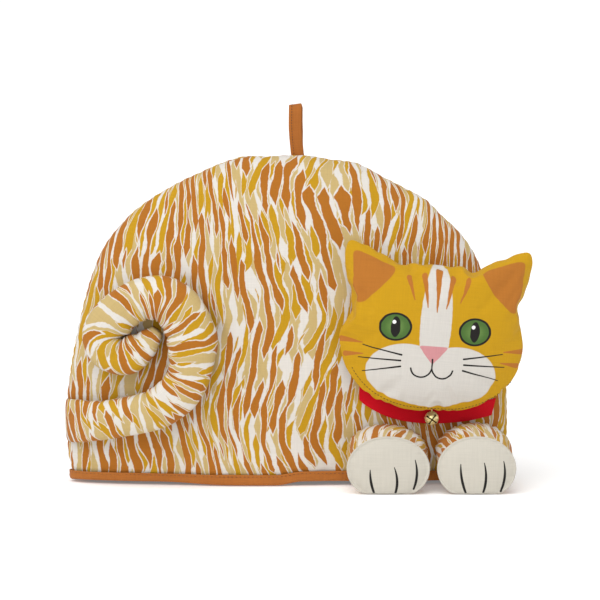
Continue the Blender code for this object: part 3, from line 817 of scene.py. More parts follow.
# --------------------------------------------------------------------- panels
def panel(name, node, side, mats):
    """One padded panel of the dome: its outside, its inside and its edges."""
    rows, cols = 150, 170
    z_all = PROFILE[:, 0]
    prof = np.vstack([[np.interp(HEM_Z, z_all, PROFILE[:, i]) for i in range(4)],
                      PROFILE[z_all >= HEM_Z]])
    run = run_of(prof[:, :2])
    last = np.interp(0.0016, prof[::-1, 1], run[::-1])
    s = np.linspace(0, last, rows)
    z, w, f, b = (np.interp(s, run, prof[:, i]) for i in range(4))
    turn = np.linspace(0, math.pi, cols) * (1 if side < 0 else -1)
    wfb = tuple(np.repeat(q[:, None], cols, 1) for q in (w, f, b))
    base = skin(turn[None, :], z[:, None], wfb)
    du = np.gradient(base, axis=1)
    dv = np.gradient(base, axis=0)
    n = np.cross(du, dv)
    n /= np.maximum(np.linalg.norm(n, axis=2, keepdims=True), 1e-12)
    if (n[rows // 2, cols // 2] * [0, side, 0]).sum() < 0:
        n = -n
    # cloth coordinates: round from mid-panel, and up the middle
    step_round = np.linalg.norm(np.diff(base, axis=1), axis=2)
    ran = np.concatenate([np.zeros((rows, 1)), np.cumsum(step_round, 1)], 1)
    a = ran - 0.5 * ran[:, -1:]
    depth = f if side < 0 else b
    up = run_of(np.stack([depth, z], -1))
    uv = np.stack([a, np.repeat(up[:, None], cols, 1)], -1)
    if side > 0:
        uv = uv + np.array([0.61, 0.33])

    # the arch seam
    seam_l = np.stack([-PROFILE[:, 1], 0 * z_all, z_all], -1)[z_all > -0.001]
    seam = np.vstack([seam_l, (seam_l * [-1, 1, 1])[::-1][1:]])
    carried, d, place_on = stray(base, seam)
    hill = -0.0016 * bump(d, 0.0024)
    tuck = np.sin(2 * math.pi * place_on / 0.0088 + 2.2 * line_noise(place_on, 0.021, 5))
    strength = 0.55 + 0.45 * line_noise(place_on, 0.037, 6)
    hill += 0.00060 * tuck * strength * bump(d, 0.0085) * (1 - bump(d, 0.0018))
    long_tuck = np.maximum(line_noise(place_on, 0.017, 8 + int(side)), 0) ** 1.5
    hill -= 0.0012 * long_tuck * bump(d - 0.006, 0.010)
    # wadding
    away = 1 - bump(d, 0.006)
    hill += (0.0011 * noise(base, 0.050, 21) + 0.0005 * noise(base, 0.020, 22)
             + 0.00018 * noise(base, 0.008, 23)) * away
    # pulled in by the binding, fuller just above it
    x, zz = base[..., 0], base[..., 2]
    ripple = line_noise(x + 0.3 * side, 0.016, 31)
    hill += -0.0011 * step(0.0125, 0.0075, zz) + 0.0010 * bump(zz - 0.019, 0.009)
    hill += 0.0007 * ripple * bump(zz - 0.013, 0.010) * step(0.006, 0.010, zz)
    if side < 0:
        # crease from the top of the tail down its right side, and pulls over the paws
        p0, p1 = np.array([-0.080, 0.161]), np.array([-0.0466, 0.110])
        q = np.stack([x, zz], -1) - p0
        h = np.clip((q @ (p1 - p0)) / ((p1 - p0) ** 2).sum(), -0.25, 1.1)
        far = np.linalg.norm(q - h[..., None] * (p1 - p0), axis=-1)
        hill += -0.0026 * bump(far, 0.0055) * step(-0.25, 0.1, h) * step(1.1, 0.7, h)
        hill += 0.0012 * bump(far - 0.012, 0.007)
        for x0, x1, depth_of in ((0.052, 0.046, 0.0013), (0.064, 0.060, 0.0009),
                                 (0.030, 0.024, 0.0009)):
            h = np.clip((zz - 0.012) / 0.055, 0, 1)
            hill -= depth_of * bump(x - (x0 + (x1 - x0) * h), 0.0042) * step(1, 0.2, h)
    outer = base + n * hill[..., None] + carried
    edge = np.array([0.0, side * 0.00012, 0.0])
    if side < 0:
        outer[..., 1] = np.minimum(outer[..., 1], edge[1])
    else:
        outer[..., 1] = np.maximum(outer[..., 1], edge[1])
    outer[..., 2] = np.maximum(outer[..., 2], HEM_Z)

    # the inside, a wall's thickness in from the outside
    def inward(half):
        t = np.stack([np.gradient(half, s), np.gradient(z, s)], -1)
        t /= np.linalg.norm(t, axis=1, keepdims=True)
        return t[:, 1], -t[:, 0]
    nw, nzw = inward(w)
    nf, nzf = inward(f if side < 0 else b)
    w_in = np.maximum(w - WALL * nw, 0.0003)
    f_in = np.maximum((f if side < 0 else b) - WALL * nf, 0.0002)
    c2 = np.cos(turn)[None, :] ** 2
    z_in = z[:, None] - WALL * (nzw[:, None] * c2 + nzf[:, None] * (1 - c2))
    inner = skin(turn[None, :], z_in,
                 tuple(np.repeat(q[:, None], cols, 1) for q in (w_in, f_in, f_in)))
    inner[..., 2] = z_in
    inner[0, :, 2] = HEM_Z
    quilt = (0.0006 * noise(inner, 0.03, 41))[..., None] * n
    inner[2:] += quilt[2:] + carried[2:]
    if side < 0:
        inner[..., 1] = np.minimum(inner[..., 1], edge[1])
    else:
        inner[..., 1] = np.maximum(inner[..., 1], edge[1])

    sh = Shape()
    o = sh.grid(outer, uv)
    i = sh.grid(inner, uv, m=1)
    number = np.arange(rows * cols).reshape(rows, cols)
    top_o = np.array([0, edge[1] * 2, HEIGHT - 0.0008 + carried[-1, cols // 2, 2]])
    top_i = np.array([0, edge[1] * 2, HEIGHT - WALL + carried[-1, cols // 2, 2]])
    po = sh.fan(o + number[-1], top_o, uv[-1], (uv[-1, cols // 2]), close=False)
    pi = sh.fan(i + number[-1], top_i, uv[-1], (uv[-1, cols // 2]), m=1, close=False)

    def strip(k, m, flip):
        for p, q in zip(k[:-1], k[1:]):
            face = [o + p, o + q, i + q, i + p]
            sh.f.append([int(v) for v in (face[::-1] if flip else face)])
            u = uv.reshape(-1, 2)
            sh.uv.extend([list(u[p])] * 4)
            sh.m.append(m)
    strip(number[0], 1, True)
    strip(number[:, 0], 0, False)
    strip(number[:, -1], 0, True)
    for k in (int(number[-1, 0]), int(number[-1, -1])):
        sh.f.append([o + k, po, pi, i + k])
        sh.uv.extend([list(uv.reshape(-1, 2)[k])] * 4)
        sh.m.append(0)
    obj = sh.build(name, mats, crease=70, hem=True)
    return place(obj, node, "printed_cotton")


# -------------------------------------------------------------------- binding
def binding(mats):
    """Bias binding folded round the hem, stitched through close to its top edge."""
    cols = 760
    turn = np.linspace(0, 2 * math.pi, cols, endpoint=False)
    # equal distances round
    ring = skin(turn, HEM_Z + 0 * turn)
    run = run_of(np.vstack([ring, ring[:1]]))
    turn = np.interp(np.linspace(0, run[-1], cols, endpoint=False), run,
                     np.append(turn, 2 * math.pi))
    along = np.linspace(0, run[-1], cols, endpoint=False)
    t = 0.00105
    out, inn = BIND_CLEAR + 0.0002, -(WALL + BIND_CLEAR_IN)
    # section: off the panel, height. Down the outer leg, under the hem, up the inner leg
    line = np.array([(out + t, BIND_H), (out + t + 0.00012, 0.0068),
                     (out + t + 0.00025, 0.0040), (out + t + 0.0001, 0.0018),
                     (out + t - 0.0004, 0.0006), (out + t - 0.0012, 0.00015),
                     ((out + inn) / 2 + 0.0010, 0.00005), ((out + inn) / 2 - 0.0010, 0.00005),
                     (inn - t + 0.0012, 0.00015), (inn - t + 0.0004, 0.0006),
                     (inn - t - 0.0001, 0.0018), (inn - t - 0.0001, 0.0045),
                     (inn - t, 0.0086)])
    core = np.array([(inn - t * 0.5, 0.0090), (inn - 0.0001, 0.0086), (inn, 0.0045),
                     (inn + 0.0001, 0.0020), (inn + 0.0008, 0.0011),
                     ((out + inn) / 2, 0.00105), (out - 0.0008, 0.0011),
                     (out - 0.0001, 0.0020), (out, 0.0045), (out, BIND_H - 0.0001),
                     (out + t * 0.5, BIND_H + 0.00035)])
    sec = np.vstack([line, core])
    width = run_of(sec)
    z_at = np.maximum(sec[:, 1], HEM_Z)
    p = skin(turn[None, :], z_at[:, None] + 0 * turn[None, :])
    ahead = skin(turn[None, :] + 0.02, z_at[:, None] + 0 * turn[None, :]) \
        - skin(turn[None, :] - 0.02, z_at[:, None] + 0 * turn[None, :])
    n = np.stack([ahead[..., 1], -ahead[..., 0], 0 * ahead[..., 0]], -1)
    n /= np.linalg.norm(n, axis=2, keepdims=True)
    q = p + n * sec[:, 0][:, None, None]
    q[..., 2] = sec[:, 1][:, None]
    # uneven edges, a soft roll and diagonal pulls between the stitches
    tall = sec[:, 1][:, None] / BIND_H
    q[..., 2] += 0.00045 * line_noise(along, 0.019, 51)[None, :] * tall ** 2
    q[..., 2] += 0.00040 * (0.5 + 0.5 * line_noise(along, 0.026, 52))[None, :] * (1 - tall) ** 2
    drag = np.sin((along[None, :] - 1.1 * q[..., 2]) * 2 * math.pi / 0.0063
                  + 3 * line_noise(along, 0.03, 53)[None, :])
    is_outer = (sec[:, 0] > out)[:, None]
    q += n * (0.00014 * drag * bump(tall - 0.55, 0.4) * is_outer)[..., None]
    q += n * (0.00035 * line_noise(along, 0.022, 54)[None, :] * is_outer
              * bump(tall - 0.5, 0.5))[..., None]
    # the stitch line pulls the edge in
    q += n * (-0.00030 * bump(sec[:, 1][:, None] - 0.0072, 0.0011) * is_outer)[..., None]
    q[..., 2] = np.maximum(q[..., 2], 0.00002)
    uv = np.stack([np.repeat(np.append(along, run[-1])[None, :], len(sec), 0),
                   np.repeat(width[:, None], cols + 1, 1)], -1)
    sh = Shape()
    start = sh.grid(q, uv, around=True)
    k = len(sec) - 1
    j = np.arange(cols)
    quads = np.stack([k * cols + j, k * cols + (j + 1) % cols, (j + 1) % cols, j], -1) + start
    corner = np.stack([uv[k, j], uv[k, j + 1], uv[k, j + 1], uv[k, j]], -2)
    sh.faces(quads, corner)
    # stitches every 3.2 mm, outside and inside
    count = int(run[-1] / 0.0032)
    for row, high, sign in ((0, 0.0073, 1), (len(line) - 1, 0.0070, -1)):
        at = np.linspace(0, run[-1], count, endpoint=False)
        tt = np.interp(at, np.append(along, run[-1]), np.append(turn, turn[0] + 2 * math.pi))
        level = high + 0.00022 * line_noise(at, 0.03, 57)
        mid = skin(tt, level)
        fore = skin(tt + 0.01, level) - skin(tt - 0.01, level)
        nn = np.stack([fore[:, 1], -fore[:, 0], 0 * fore[:, 0]], -1)
        nn /= np.linalg.norm(nn, axis=1, keepdims=True)
        off = (out + t - 0.00022) if sign > 0 else (inn - t + 0.00002)
        stitches(sh, mid + nn * off, fore, nn * sign, 0.0021, 0.00062, 0.00030, 1)
    obj = sh.build("binding", mats, crease=60, hem=True)
    return place(obj, "hem_binding", "rust_cotton")


# ----------------------------------------------------------------------- loop
def strap(mats):
    """Folded tape: up from the top seam, over, and down again."""
    side = [(-0.0011, -0.0030), (-0.0011, 0.0), (-0.0026, 0.010), (-0.0042, 0.024),
            (-0.0043, 0.034), (-0.0028, LOOP_H - 0.0020), (0.0, LOOP_H - 0.0006)]
    path = even(smooth(side + [(-y, z) for y, z in reversed(side[:-1])], 14), 96)
    run = run_of(path)
    d = np.gradient(path, axis=0)
    d /= np.linalg.norm(d, axis=1, keepdims=True)
    out = np.stack([-d[:, 1], d[:, 0]], -1)
    out[:] = np.where((out[:, :1] * (path[:, :1] - 0) + out[:, 1:] * (path[:, 1:] - 0.02)
                       ).sum(1, keepdims=True) < 0, -out, out)
    half, thick = LOOP_W / 2, 0.00155
    k = np.linspace(0, 2 * math.pi, 28, endpoint=False)
    sx = half * np.sign(np.cos(k)) * np.abs(np.cos(k)) ** 0.28
    sn = thick / 2 * np.sign(np.sin(k)) * np.abs(np.sin(k)) ** 0.55
    # the top-stitched edge is pressed thin, the folded edge is fuller
    sn = sn * (1 + 0.25 * step(-0.2, 1.0, sx / half) - 0.22 * bump(sx + 0.0026, 0.0011))
    ring = np.zeros((len(path), len(k), 3))
    y, z = path[:, 0], path[:, 1]
    lean = LOOP_LEAN * z / LOOP_H
    wobble = 0.00025 * line_noise(run, 0.012, 61)
    # the tape bows to the left, and its back leg shows past the right edge
    wobble = wobble - 0.0009 * np.sin(np.clip(z / LOOP_H, 0, 1) * math.pi) \
        + 0.0010 * step(0.0, 0.003, y) * step(0.004, 0.020, z) * step(LOOP_H, LOOP_H * 0.9, z)
    ring[..., 0] = LOOP_X + (lean + wobble)[:, None] + sx[None, :]
    ring[..., 1] = y[:, None] + out[:, :1] * sn[None, :]
    ring[..., 2] = HEIGHT + 0.0007 + z[:, None] + out[:, 1:] * sn[None, :] \
        + 0.0011 * (z / LOOP_H)[:, None] * (sx / LOOP_W - 0.5)[None, :]
    cup = 0.00035 * (sx / half) ** 2
    ring[..., 1] -= (cup[None, :] * np.sign(y)[:, None] * step(0, 0.004, np.abs(y))[:, None])
    around = run_of(np.stack([np.append(sx, sx[0]), np.append(sn, sn[0])], -1))
    uv = np.stack([np.repeat(run[:, None], len(k) + 1, 1),
                   np.repeat(around[None, :], len(path), 0)], -1)
    sh = Shape()
    start = sh.grid(ring, uv, around=True)
    n = len(k)
    sh.fan(start + np.arange(n), ring[0].mean(0), uv[0], uv[0, 0])
    sh.fan(start + (len(path) - 1) * n + np.arange(n), ring[-1].mean(0), uv[-1], uv[-1, 0])
    # top stitching near one edge, seen on both faces
    at = np.arange(0.004, run[-1] - 0.004, 0.0022)
    py, pz = np.interp(at, run, y), np.interp(at, run, z)
    oy, oz = np.interp(at, run, out[:, 0]), np.interp(at, run, out[:, 1])
    dy, dz = np.interp(at, run, d[:, 0]), np.interp(at, run, d[:, 1])
    mid = np.stack([LOOP_X + np.interp(at, run, lean + wobble) - 0.0026,
                    py, HEIGHT + 0.0007 + pz - 0.0006 * pz / LOOP_H], -1)
    o = np.stack([0 * oy, oy, oz], -1)
    ah = np.stack([0 * dy, dy, dz], -1)
    for sign in (1, -1):
        stitches(sh, mid + o * sign * 0.00060, ah, o * sign, 0.0016, 0.00060, 0.00030, 1)
    obj = sh.build("loop", mats, crease=60)
    return place(obj, "hanging_loop", "rust_cotton")


# ----------------------------------------------------------------------- tail
def superoval(n, square):
    t = np.arange(n) / n * 2 * math.pi
    c, s = np.cos(t), np.sin(t)
    return t, np.sign(c) * np.abs(c) ** (2 / square), np.sign(s) * np.abs(s) ** (2 / square)


def stuffed_tail(mats):
    """Stuffed tube curled on the front panel, with folds on the inside of its bends."""
    line = smooth(TAIL, 14)
    along, z, width, thick = line.T
    here, n = on_front(along, z)
    mids = here + n * (GAP + 0.5 * thick)[:, None]
    # even stations
    run = run_of(mids)
    count = 300
    s = np.linspace(0, run[-1], count)
    mids, n, here = (np.stack([np.interp(s, run, q[:, k]) for k in range(3)], -1)
                     for q in (mids, n, here))
    width, thick = np.interp(s, run, width), np.interp(s, run, thick)
    n /= np.linalg.norm(n, axis=1, keepdims=True)
    ahead = np.gradient(mids, axis=0)
    ahead -= n * (ahead * n).sum(1, keepdims=True)
    ahead /= np.linalg.norm(ahead, axis=1, keepdims=True)
    across = np.cross(n, ahead)
    bend = (np.gradient(ahead, s, axis=0) * across).sum(1)       # + bends towards across
    bend = np.convolve(np.pad(bend, 9, "edge"), np.ones(19) / 19, "valid")
    ring_n = 56
    t, oc, os = superoval(ring_n, 2.5)
    # rounded tip, and a flat root that runs into the side seam
    tip = np.clip((s[-1] + 0.0046 - s) / 0.0052, 0, 1)
    close = np.sqrt(np.clip(1 - (1 - tip) ** 2, 0.0, 1))
    root_end = np.sqrt(np.clip(1 - (1 - np.clip((s + 0.001) / 0.012, 0, 1)) ** 2, 0.05, 1))
    # the inside of a bend is gathered in, short of the bend's own middle
    outer = width / 2 * close * (0.84 + 0.16 * step(0.0, 0.020, s))
    free = np.clip((s[-1] - s) / (0.12 * s[-1]), 0, 1)
    inner_half = np.minimum(outer, 1.15 * GATHER / np.maximum(np.abs(bend), 1e-6))
    inner_half = inner_half * free + outer * (1 - free)
    inner_half = np.convolve(np.pad(inner_half, 3, "edge"), np.ones(7) / 7, "valid")
    inner_half = np.minimum(inner_half, outer)
    mids = mids - across * (np.sign(bend) * (outer - inner_half) / 2)[:, None]
    a = ((outer + inner_half) / 2)[:, None]
    b = (thick / 2 * close * root_end)[:, None]
    mids = mids - n * (0.0030 * (1 - step(0, 0.014, s)))[:, None]
    inner = np.sign(bend)[:, None] * oc[None, :]
    tight = np.clip(np.abs(bend) / 30.0, 0, 1)[:, None]
    w_in = step(-0.25, 0.95, inner) * step(-0.9, 0.1, os)[None, :]
    # pinch folds: sharp valleys between rounded hills, closer on tighter bends
    phase = s[:, None] * 2 * math.pi / 0.0125 + 2.4 * line_noise(s, 0.03, 71)[:, None] \
        + 0.5 * inner
    fold = 1 - np.abs(np.cos(phase / 2)) ** 0.55
    fold = (1 - fold) * 1.0
    valley = 1 - np.abs(np.sin(phase / 2)) ** 0.6
    keep = (0.45 + 0.55 * line_noise(s, 0.018, 72))[:, None]
    dent = 0.0052 * tight * w_in * valley * np.clip(keep, 0.1, 1)
    # soft cross creases where the tube is slack
    slack = np.maximum(line_noise(s, 0.013, 76), 0)[:, None] ** 2
    dent = dent + 0.0022 * slack * step(-0.6, 0.9, os)[None, :] * (1 - 0.6 * tight)
    p = mids[:, None, :] + across[:, None, :] * (a * oc)[..., None] \
        + n[:, None, :] * (b * os)[..., None]
    radial = across[:, None, :] * (oc / 1.0)[None, :, None] \
        + n[:, None, :] * os[None, :, None]
    radial /= np.linalg.norm(radial, axis=2, keepdims=True)
    lump = 0.0013 * noise(p, 0.024, 73) + 0.0006 * noise(p, 0.011, 74) \
        + 0.00018 * noise(p, 0.005, 75)
    lump = lump * close[:, None] * step(0, 0.02, s)[:, None]
    small = np.clip(thick / 0.016, 0.2, 1)[:, None]
    p = p + radial * (lump - dent * small)[..., None]
    # the root stops at the side seam
    hip = 0.0021 * bump(p[..., 2] - 0.048, 0.034)
    edge_x = -(section(p[..., 2])[0] + hip + 0.0010)
    p[..., 0] = np.maximum(p[..., 0], edge_x)
    ring_run = np.zeros((count, ring_n + 1))
    mean_w = np.median(width) / 2
    around = run_of(np.stack([np.append(oc, oc[0]) * mean_w,
                              np.append(os, os[0]) * 0.010], -1))
    ring_run[:] = around[None, :] * (width / np.median(width))[:, None]
    uv = np.stack([np.repeat(s[:, None], ring_n + 1, 1) + 0.9, ring_run + 0.7], -1)
    sh = Shape()
    start = sh.grid(p, uv, around=True)
    k = np.arange(ring_n)
    root = p[0].mean(0) - ahead[0] * 0.002
    sh.fan(start + k, root, uv[0], uv[0, 0])
    sh.fan(start + (count - 1) * ring_n + k, p[-1].mean(0) + ahead[-1] * 0.0004,
           uv[-1], uv[-1, 0])
    obj = sh.build("stuffed_tail", mats, crease=80)
    return place(obj, "tail", "printed_cotton")


# ----------------------------------------------------------------------- head
def head_place(p):
    x, y, z = p[..., 0], p[..., 1], p[..., 2]
    x, y = (x * math.cos(HEAD_YAW) - y * math.sin(HEAD_YAW),
            x * math.sin(HEAD_YAW) + y * math.cos(HEAD_YAW))
    x, z = (x * math.cos(HEAD_TILT) + z * math.sin(HEAD_TILT),
            z * math.cos(HEAD_TILT) - x * math.sin(HEAD_TILT))
    return np.stack([x + HEAD_AT[0], y + HEAD_AT[1], z + HEAD_AT[2]], -1)


def clear_back(p, room=0.0028):
    w = section(p[..., 2])[0]
    y = np.minimum(p[..., 1], front_y(p[..., 0], p[..., 2]) - room)
    out = p.copy()
    out[..., 1] = np.where(np.abs(p[..., 0]) < w, y, p[..., 1])
    return out


def head_outline(count):
    half = [np.array(r[1:]) for r in HEAD]
    rest = [np.array([-p[0], p[1]]) for p in reversed(half[1:-1])]
    return even(smooth(half + rest, 16, closed=True), count, closed=True)


def inside(points, outline):
    """Which points lie inside a closed outline."""
    x, y = points[:, 0][:, None], points[:, 1][:, None]
    x0, y0 = outline[:, 0], outline[:, 1]
    x1, y1 = np.roll(x0, -1), np.roll(y0, -1)
    cross = ((y0 > y) != (y1 > y)) & (x < (x1 - x0) * (y - y0) / (y1 - y0 + 1e-15) + x0)
    return cross.sum(1) % 2 == 1


def flat_fill(outline, pitch):
    """Triangles over a closed outline: its own points first, then a lattice inside."""
    lo, hi = outline.min(0), outline.max(0)
    rows = np.arange(lo[1], hi[1], pitch * 0.866)
    pts = []
    for j, y in enumerate(rows):
        xs = np.arange(lo[0] + (j % 2) * pitch / 2, hi[0], pitch)
        pts.append(np.stack([xs, 0 * xs + y], -1))
    pts = np.vstack(pts)
    pts = pts[inside(pts, outline)]
    gap = np.sqrt(((pts[:, None] - outline[None]) ** 2).sum(-1)).min(1)
    pts = pts[gap > pitch * 0.62]
    allp = np.vstack([outline, pts])
    edges = [(i, (i + 1) % len(outline)) for i in range(len(outline))]
    v, _, f, _, _, _ = delaunay_2d_cdt([Vector(p) for p in allp], edges, [], 2, 1e-7)
    v = np.array([tuple(q) for q in v])
    f = np.array([t for t in f])
    mid = v[f].mean(1)
    return v, f[inside(mid, outline)]


def pillow(v, f, rim):
    """Height of a stuffed pillow over a flat pattern: 0 at the rim, 1 at its fullest."""
    n = len(v)
    link = np.zeros((n, n), np.float32)
    for i in range(3):
        a, b = f[:, i], f[:, (i + 1) % 3]
        link[a, b] = link[b, a] = 1
    free = np.ones(n, bool)
    free[:rim] = False
    deg = link.sum(1)
    m = np.diag(deg) - link
    h = np.zeros(n)
    inside_only = np.linalg.inv(m[np.ix_(free, free)].astype(float))
    h[free] = inside_only.sum(1)

    def carry(move):
        """A move of the rim, carried smoothly through the whole pattern."""
        out = np.zeros((n, move.shape[1]))
        out[:rim] = move
        out[rim:] = -inside_only @ (m[np.ix_(free, ~free)].astype(float) @ move)
        return out

    def calm(value, times):
        out = value.copy()
        for _ in range(times):
            out = link @ out / deg[:, None]
            out[:rim] = value[:rim]
        return out
    return np.sqrt(h / h.max()), carry, calm


def inflate(verts, faces, pressure, frames, stiff):
    """Cloth blown up from its flat pattern: where its points end."""
    me = bpy.data.meshes.new("slack")
    me.from_pydata(np.asarray(verts).tolist(), [], np.asarray(faces).tolist())
    obj = bpy.data.objects.new("slack", me)
    bpy.context.scene.collection.objects.link(obj)
    mod = obj.modifiers.new("cloth", "CLOTH")
    cloth = mod.settings
    cloth.quality = 7
    cloth.mass = 0.15
    cloth.tension_stiffness = cloth.compression_stiffness = stiff
    cloth.shear_stiffness = stiff * 0.5
    cloth.bending_stiffness = 1.2
    cloth.tension_damping = cloth.compression_damping = 8
    cloth.air_damping = 4
    cloth.use_pressure = True
    cloth.uniform_pressure_force = pressure
    cloth.effector_weights.gravity = 0
    mod.point_cache.frame_start, mod.point_cache.frame_end = 1, frames
    scene = bpy.context.scene
    for k in range(1, frames + 1):
        scene.frame_set(k)
    graph = bpy.context.evaluated_depsgraph_get()
    out = obj.evaluated_get(graph).to_mesh()
    p = np.empty(len(out.vertices) * 3)
    out.vertices.foreach_get("co", p)
    bpy.data.objects.remove(obj)
    scene.frame_set(1)
    return p.reshape(-1, 3)


def blown(v, f, other, h, rim, carry):
    """The head as two flat pieces that swell. The pieces are cut so that the
    stuffed head has its outline, and keep the creases that start at the seam."""
    target, cut = v[:rim], v.copy()
    faces = np.vstack([f, other[f][:, ::-1]])
    weights = np.exp(-(np.arange(-9, 10) / 4.0) ** 2)
    weights /= weights.sum()
    for go in range(3):
        thin = 0.0035 * h
        flat = np.vstack([np.stack([cut[:, 0], -thin, cut[:, 1]], -1),
                          np.stack([cut[rim:, 0], thin[rim:], cut[rim:, 1]], -1)])
        # ten times larger than life, where the solver's steps are well behaved
        p = inflate(flat * 10, faces, PUFF, 18, 20) / 10
        p[:, 1] -= np.median(p[:rim, 1])
        miss = target - p[:rim][:, [0, 2]]
        wide = np.vstack([miss[-9:], miss, miss[:9]])
        move = np.stack([np.convolve(wide[:, k], weights, "valid") for k in (0, 1)], -1)
        if go < 2:
            cut = cut + carry(move)
    rest = carry(move)
    p[:len(v), 0] += rest[:, 0]
    p[:len(v), 2] += rest[:, 1]
    p[len(v):, 0] += rest[rim:, 0]
    p[len(v):, 2] += rest[rim:, 1]
    y = p[:, 1]
    y[y < 0] *= HEAD_FRONT / -y.min()
    y[y > 0] *= HEAD_BACK / y.max()
    return p


def stuffed_head(mats):
    """Two matching pieces sewn round their outline and stuffed."""
    rim = 190
    outline = head_outline(rim)
    v, f = flat_fill(outline, 0.0026)
    around = np.arange(rim) * run_of(np.vstack([outline, outline[:1]]))[-1] / rim
    tangent = np.roll(outline, -1, 0) - np.roll(outline, 1, 0)
    tangent /= np.linalg.norm(tangent, axis=1, keepdims=True)
    normal = np.stack([tangent[:, 1], -tangent[:, 0]], -1)
    v[:rim] += normal * (0.00045 * line_noise(around, 0.007, 87)
                         + 0.0004 * line_noise(around, 0.019, 88))[:, None]
    h, carry, calm = pillow(v, f, rim)
    n = len(v)
    full = np.clip(h * 1.08, 0, 1) ** 0.92
    d = np.sqrt(((v[:, None] - outline[None]) ** 2).sum(-1))
    k = d.argmin(1)
    d = d.min(1)
    s_rim = run_of(np.vstack([outline, outline[:1]]))[k]
    tuck = np.sin(2 * math.pi * s_rim / 0.0105 + 2.5 * line_noise(s_rim, 0.03, 81))
    p3 = np.stack([v[:, 0], 0 * v[:, 0], v[:, 1]], -1)
    front = HEAD_FRONT * full + (0.00055 * tuck * bump(d - 0.004, 0.0045)
                                 * (0.6 + 0.4 * line_noise(s_rim, 0.04, 82))
                                 + 0.0009 * noise(p3, 0.030, 83)
                                 + 0.0004 * noise(p3, 0.014, 84)) * step(0, 0.004, d)
    back = HEAD_BACK * full + 0.0008 * noise(p3 + 1, 0.028, 85) * step(0, 0.006, d)
    pf = np.stack([v[:, 0], -np.maximum(front, 0), v[:, 1]], -1)
    pb = np.stack([v[:, 0], np.maximum(back, 0), v[:, 1]], -1)
    pts = np.vstack([pf, pb[rim:]])
    other = np.concatenate([np.arange(rim), n + np.arange(n - rim)])
    print_at = v
    pts = blown(v, f, other, h, rim, carry)
    print_at = v + calm(pts[:n][:, [0, 2]] - v, 25)
    sh = Shape()
    sh.points(clear_back(head_place(pts)))
    uv = print_at[f]
    sh.faces(f, uv, 0)
    sh.faces(other[f][:, ::-1], uv[:, ::-1], 1)
    obj = sh.build("stuffed_head", mats, crease=80)
    hold = obj.data.attributes.new("crease_edge", "FLOAT", "EDGE")
    pairs = np.array([e.vertices[:] for e in obj.data.edges])
    gap = abs(pairs[:, 0] - pairs[:, 1])
    seam = (pairs < rim).all(1) & ((gap == 1) | (gap == rim - 1))
    hold.data.foreach_set("value", seam.astype(np.float32))
    refine(obj)
    return place(obj, "head", "face_cotton")


def refine(obj, level=1):
    """One subdivision, put into the mesh."""
    mod = obj.modifiers.new("refine", "SUBSURF")
    mod.levels = mod.render_levels = level
    bpy.context.view_layer.update()
    graph = bpy.context.evaluated_depsgraph_get()
    me = bpy.data.meshes.new_from_object(obj.evaluated_get(graph))
    old = obj.data
    obj.modifiers.clear()
    obj.data = me
    bpy.data.meshes.remove(old)


def chin_stitches(tree, mats):
    """The row of stitches that holds the chin's edge."""
    outline = head_outline(900)
    tangent = np.roll(outline, -1, 0) - np.roll(outline, 1, 0)
    tangent /= np.linalg.norm(tangent, axis=1, keepdims=True)
    normal = np.stack([tangent[:, 1], -tangent[:, 0]], -1)
    if ((outline + normal * 0.01)[:, 1].max() < outline[:, 1].max()):
        normal = -normal
    row = outline - normal * 0.0019
    low = row[(outline[:, 1] < -0.030)]
    low = low[np.argsort(low[:, 0])]
    run = run_of(low)
    at = np.arange(0.001, run[-1] - 0.001, 0.0027)
    p = np.stack([np.interp(at, run, low[:, k]) for k in (0, 1)], -1)
    q = np.stack([np.interp(at + 0.0004, run, low[:, k]) for k in (0, 1)], -1)
    a = head_place(np.stack([p[:, 0], 0 * at - 0.05, p[:, 1]], -1))
    b = head_place(np.stack([q[:, 0], 0 * at - 0.05, q[:, 1]], -1))
    ha, na = cast(tree, a)
    hb, _ = cast(tree, b)
    met = ~np.isnan(ha).any(1) & ~np.isnan(hb).any(1)
    ha, hb, na = ha[met], hb[met], na[met]
    sh = Shape()
    stitches(sh, ha + na * 0.00002, hb - ha, na, 0.0020, 0.00062, 0.00030, 0)
    obj = sh.build("chin_stitches", mats, crease=60)
    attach(obj, "root")
    return obj


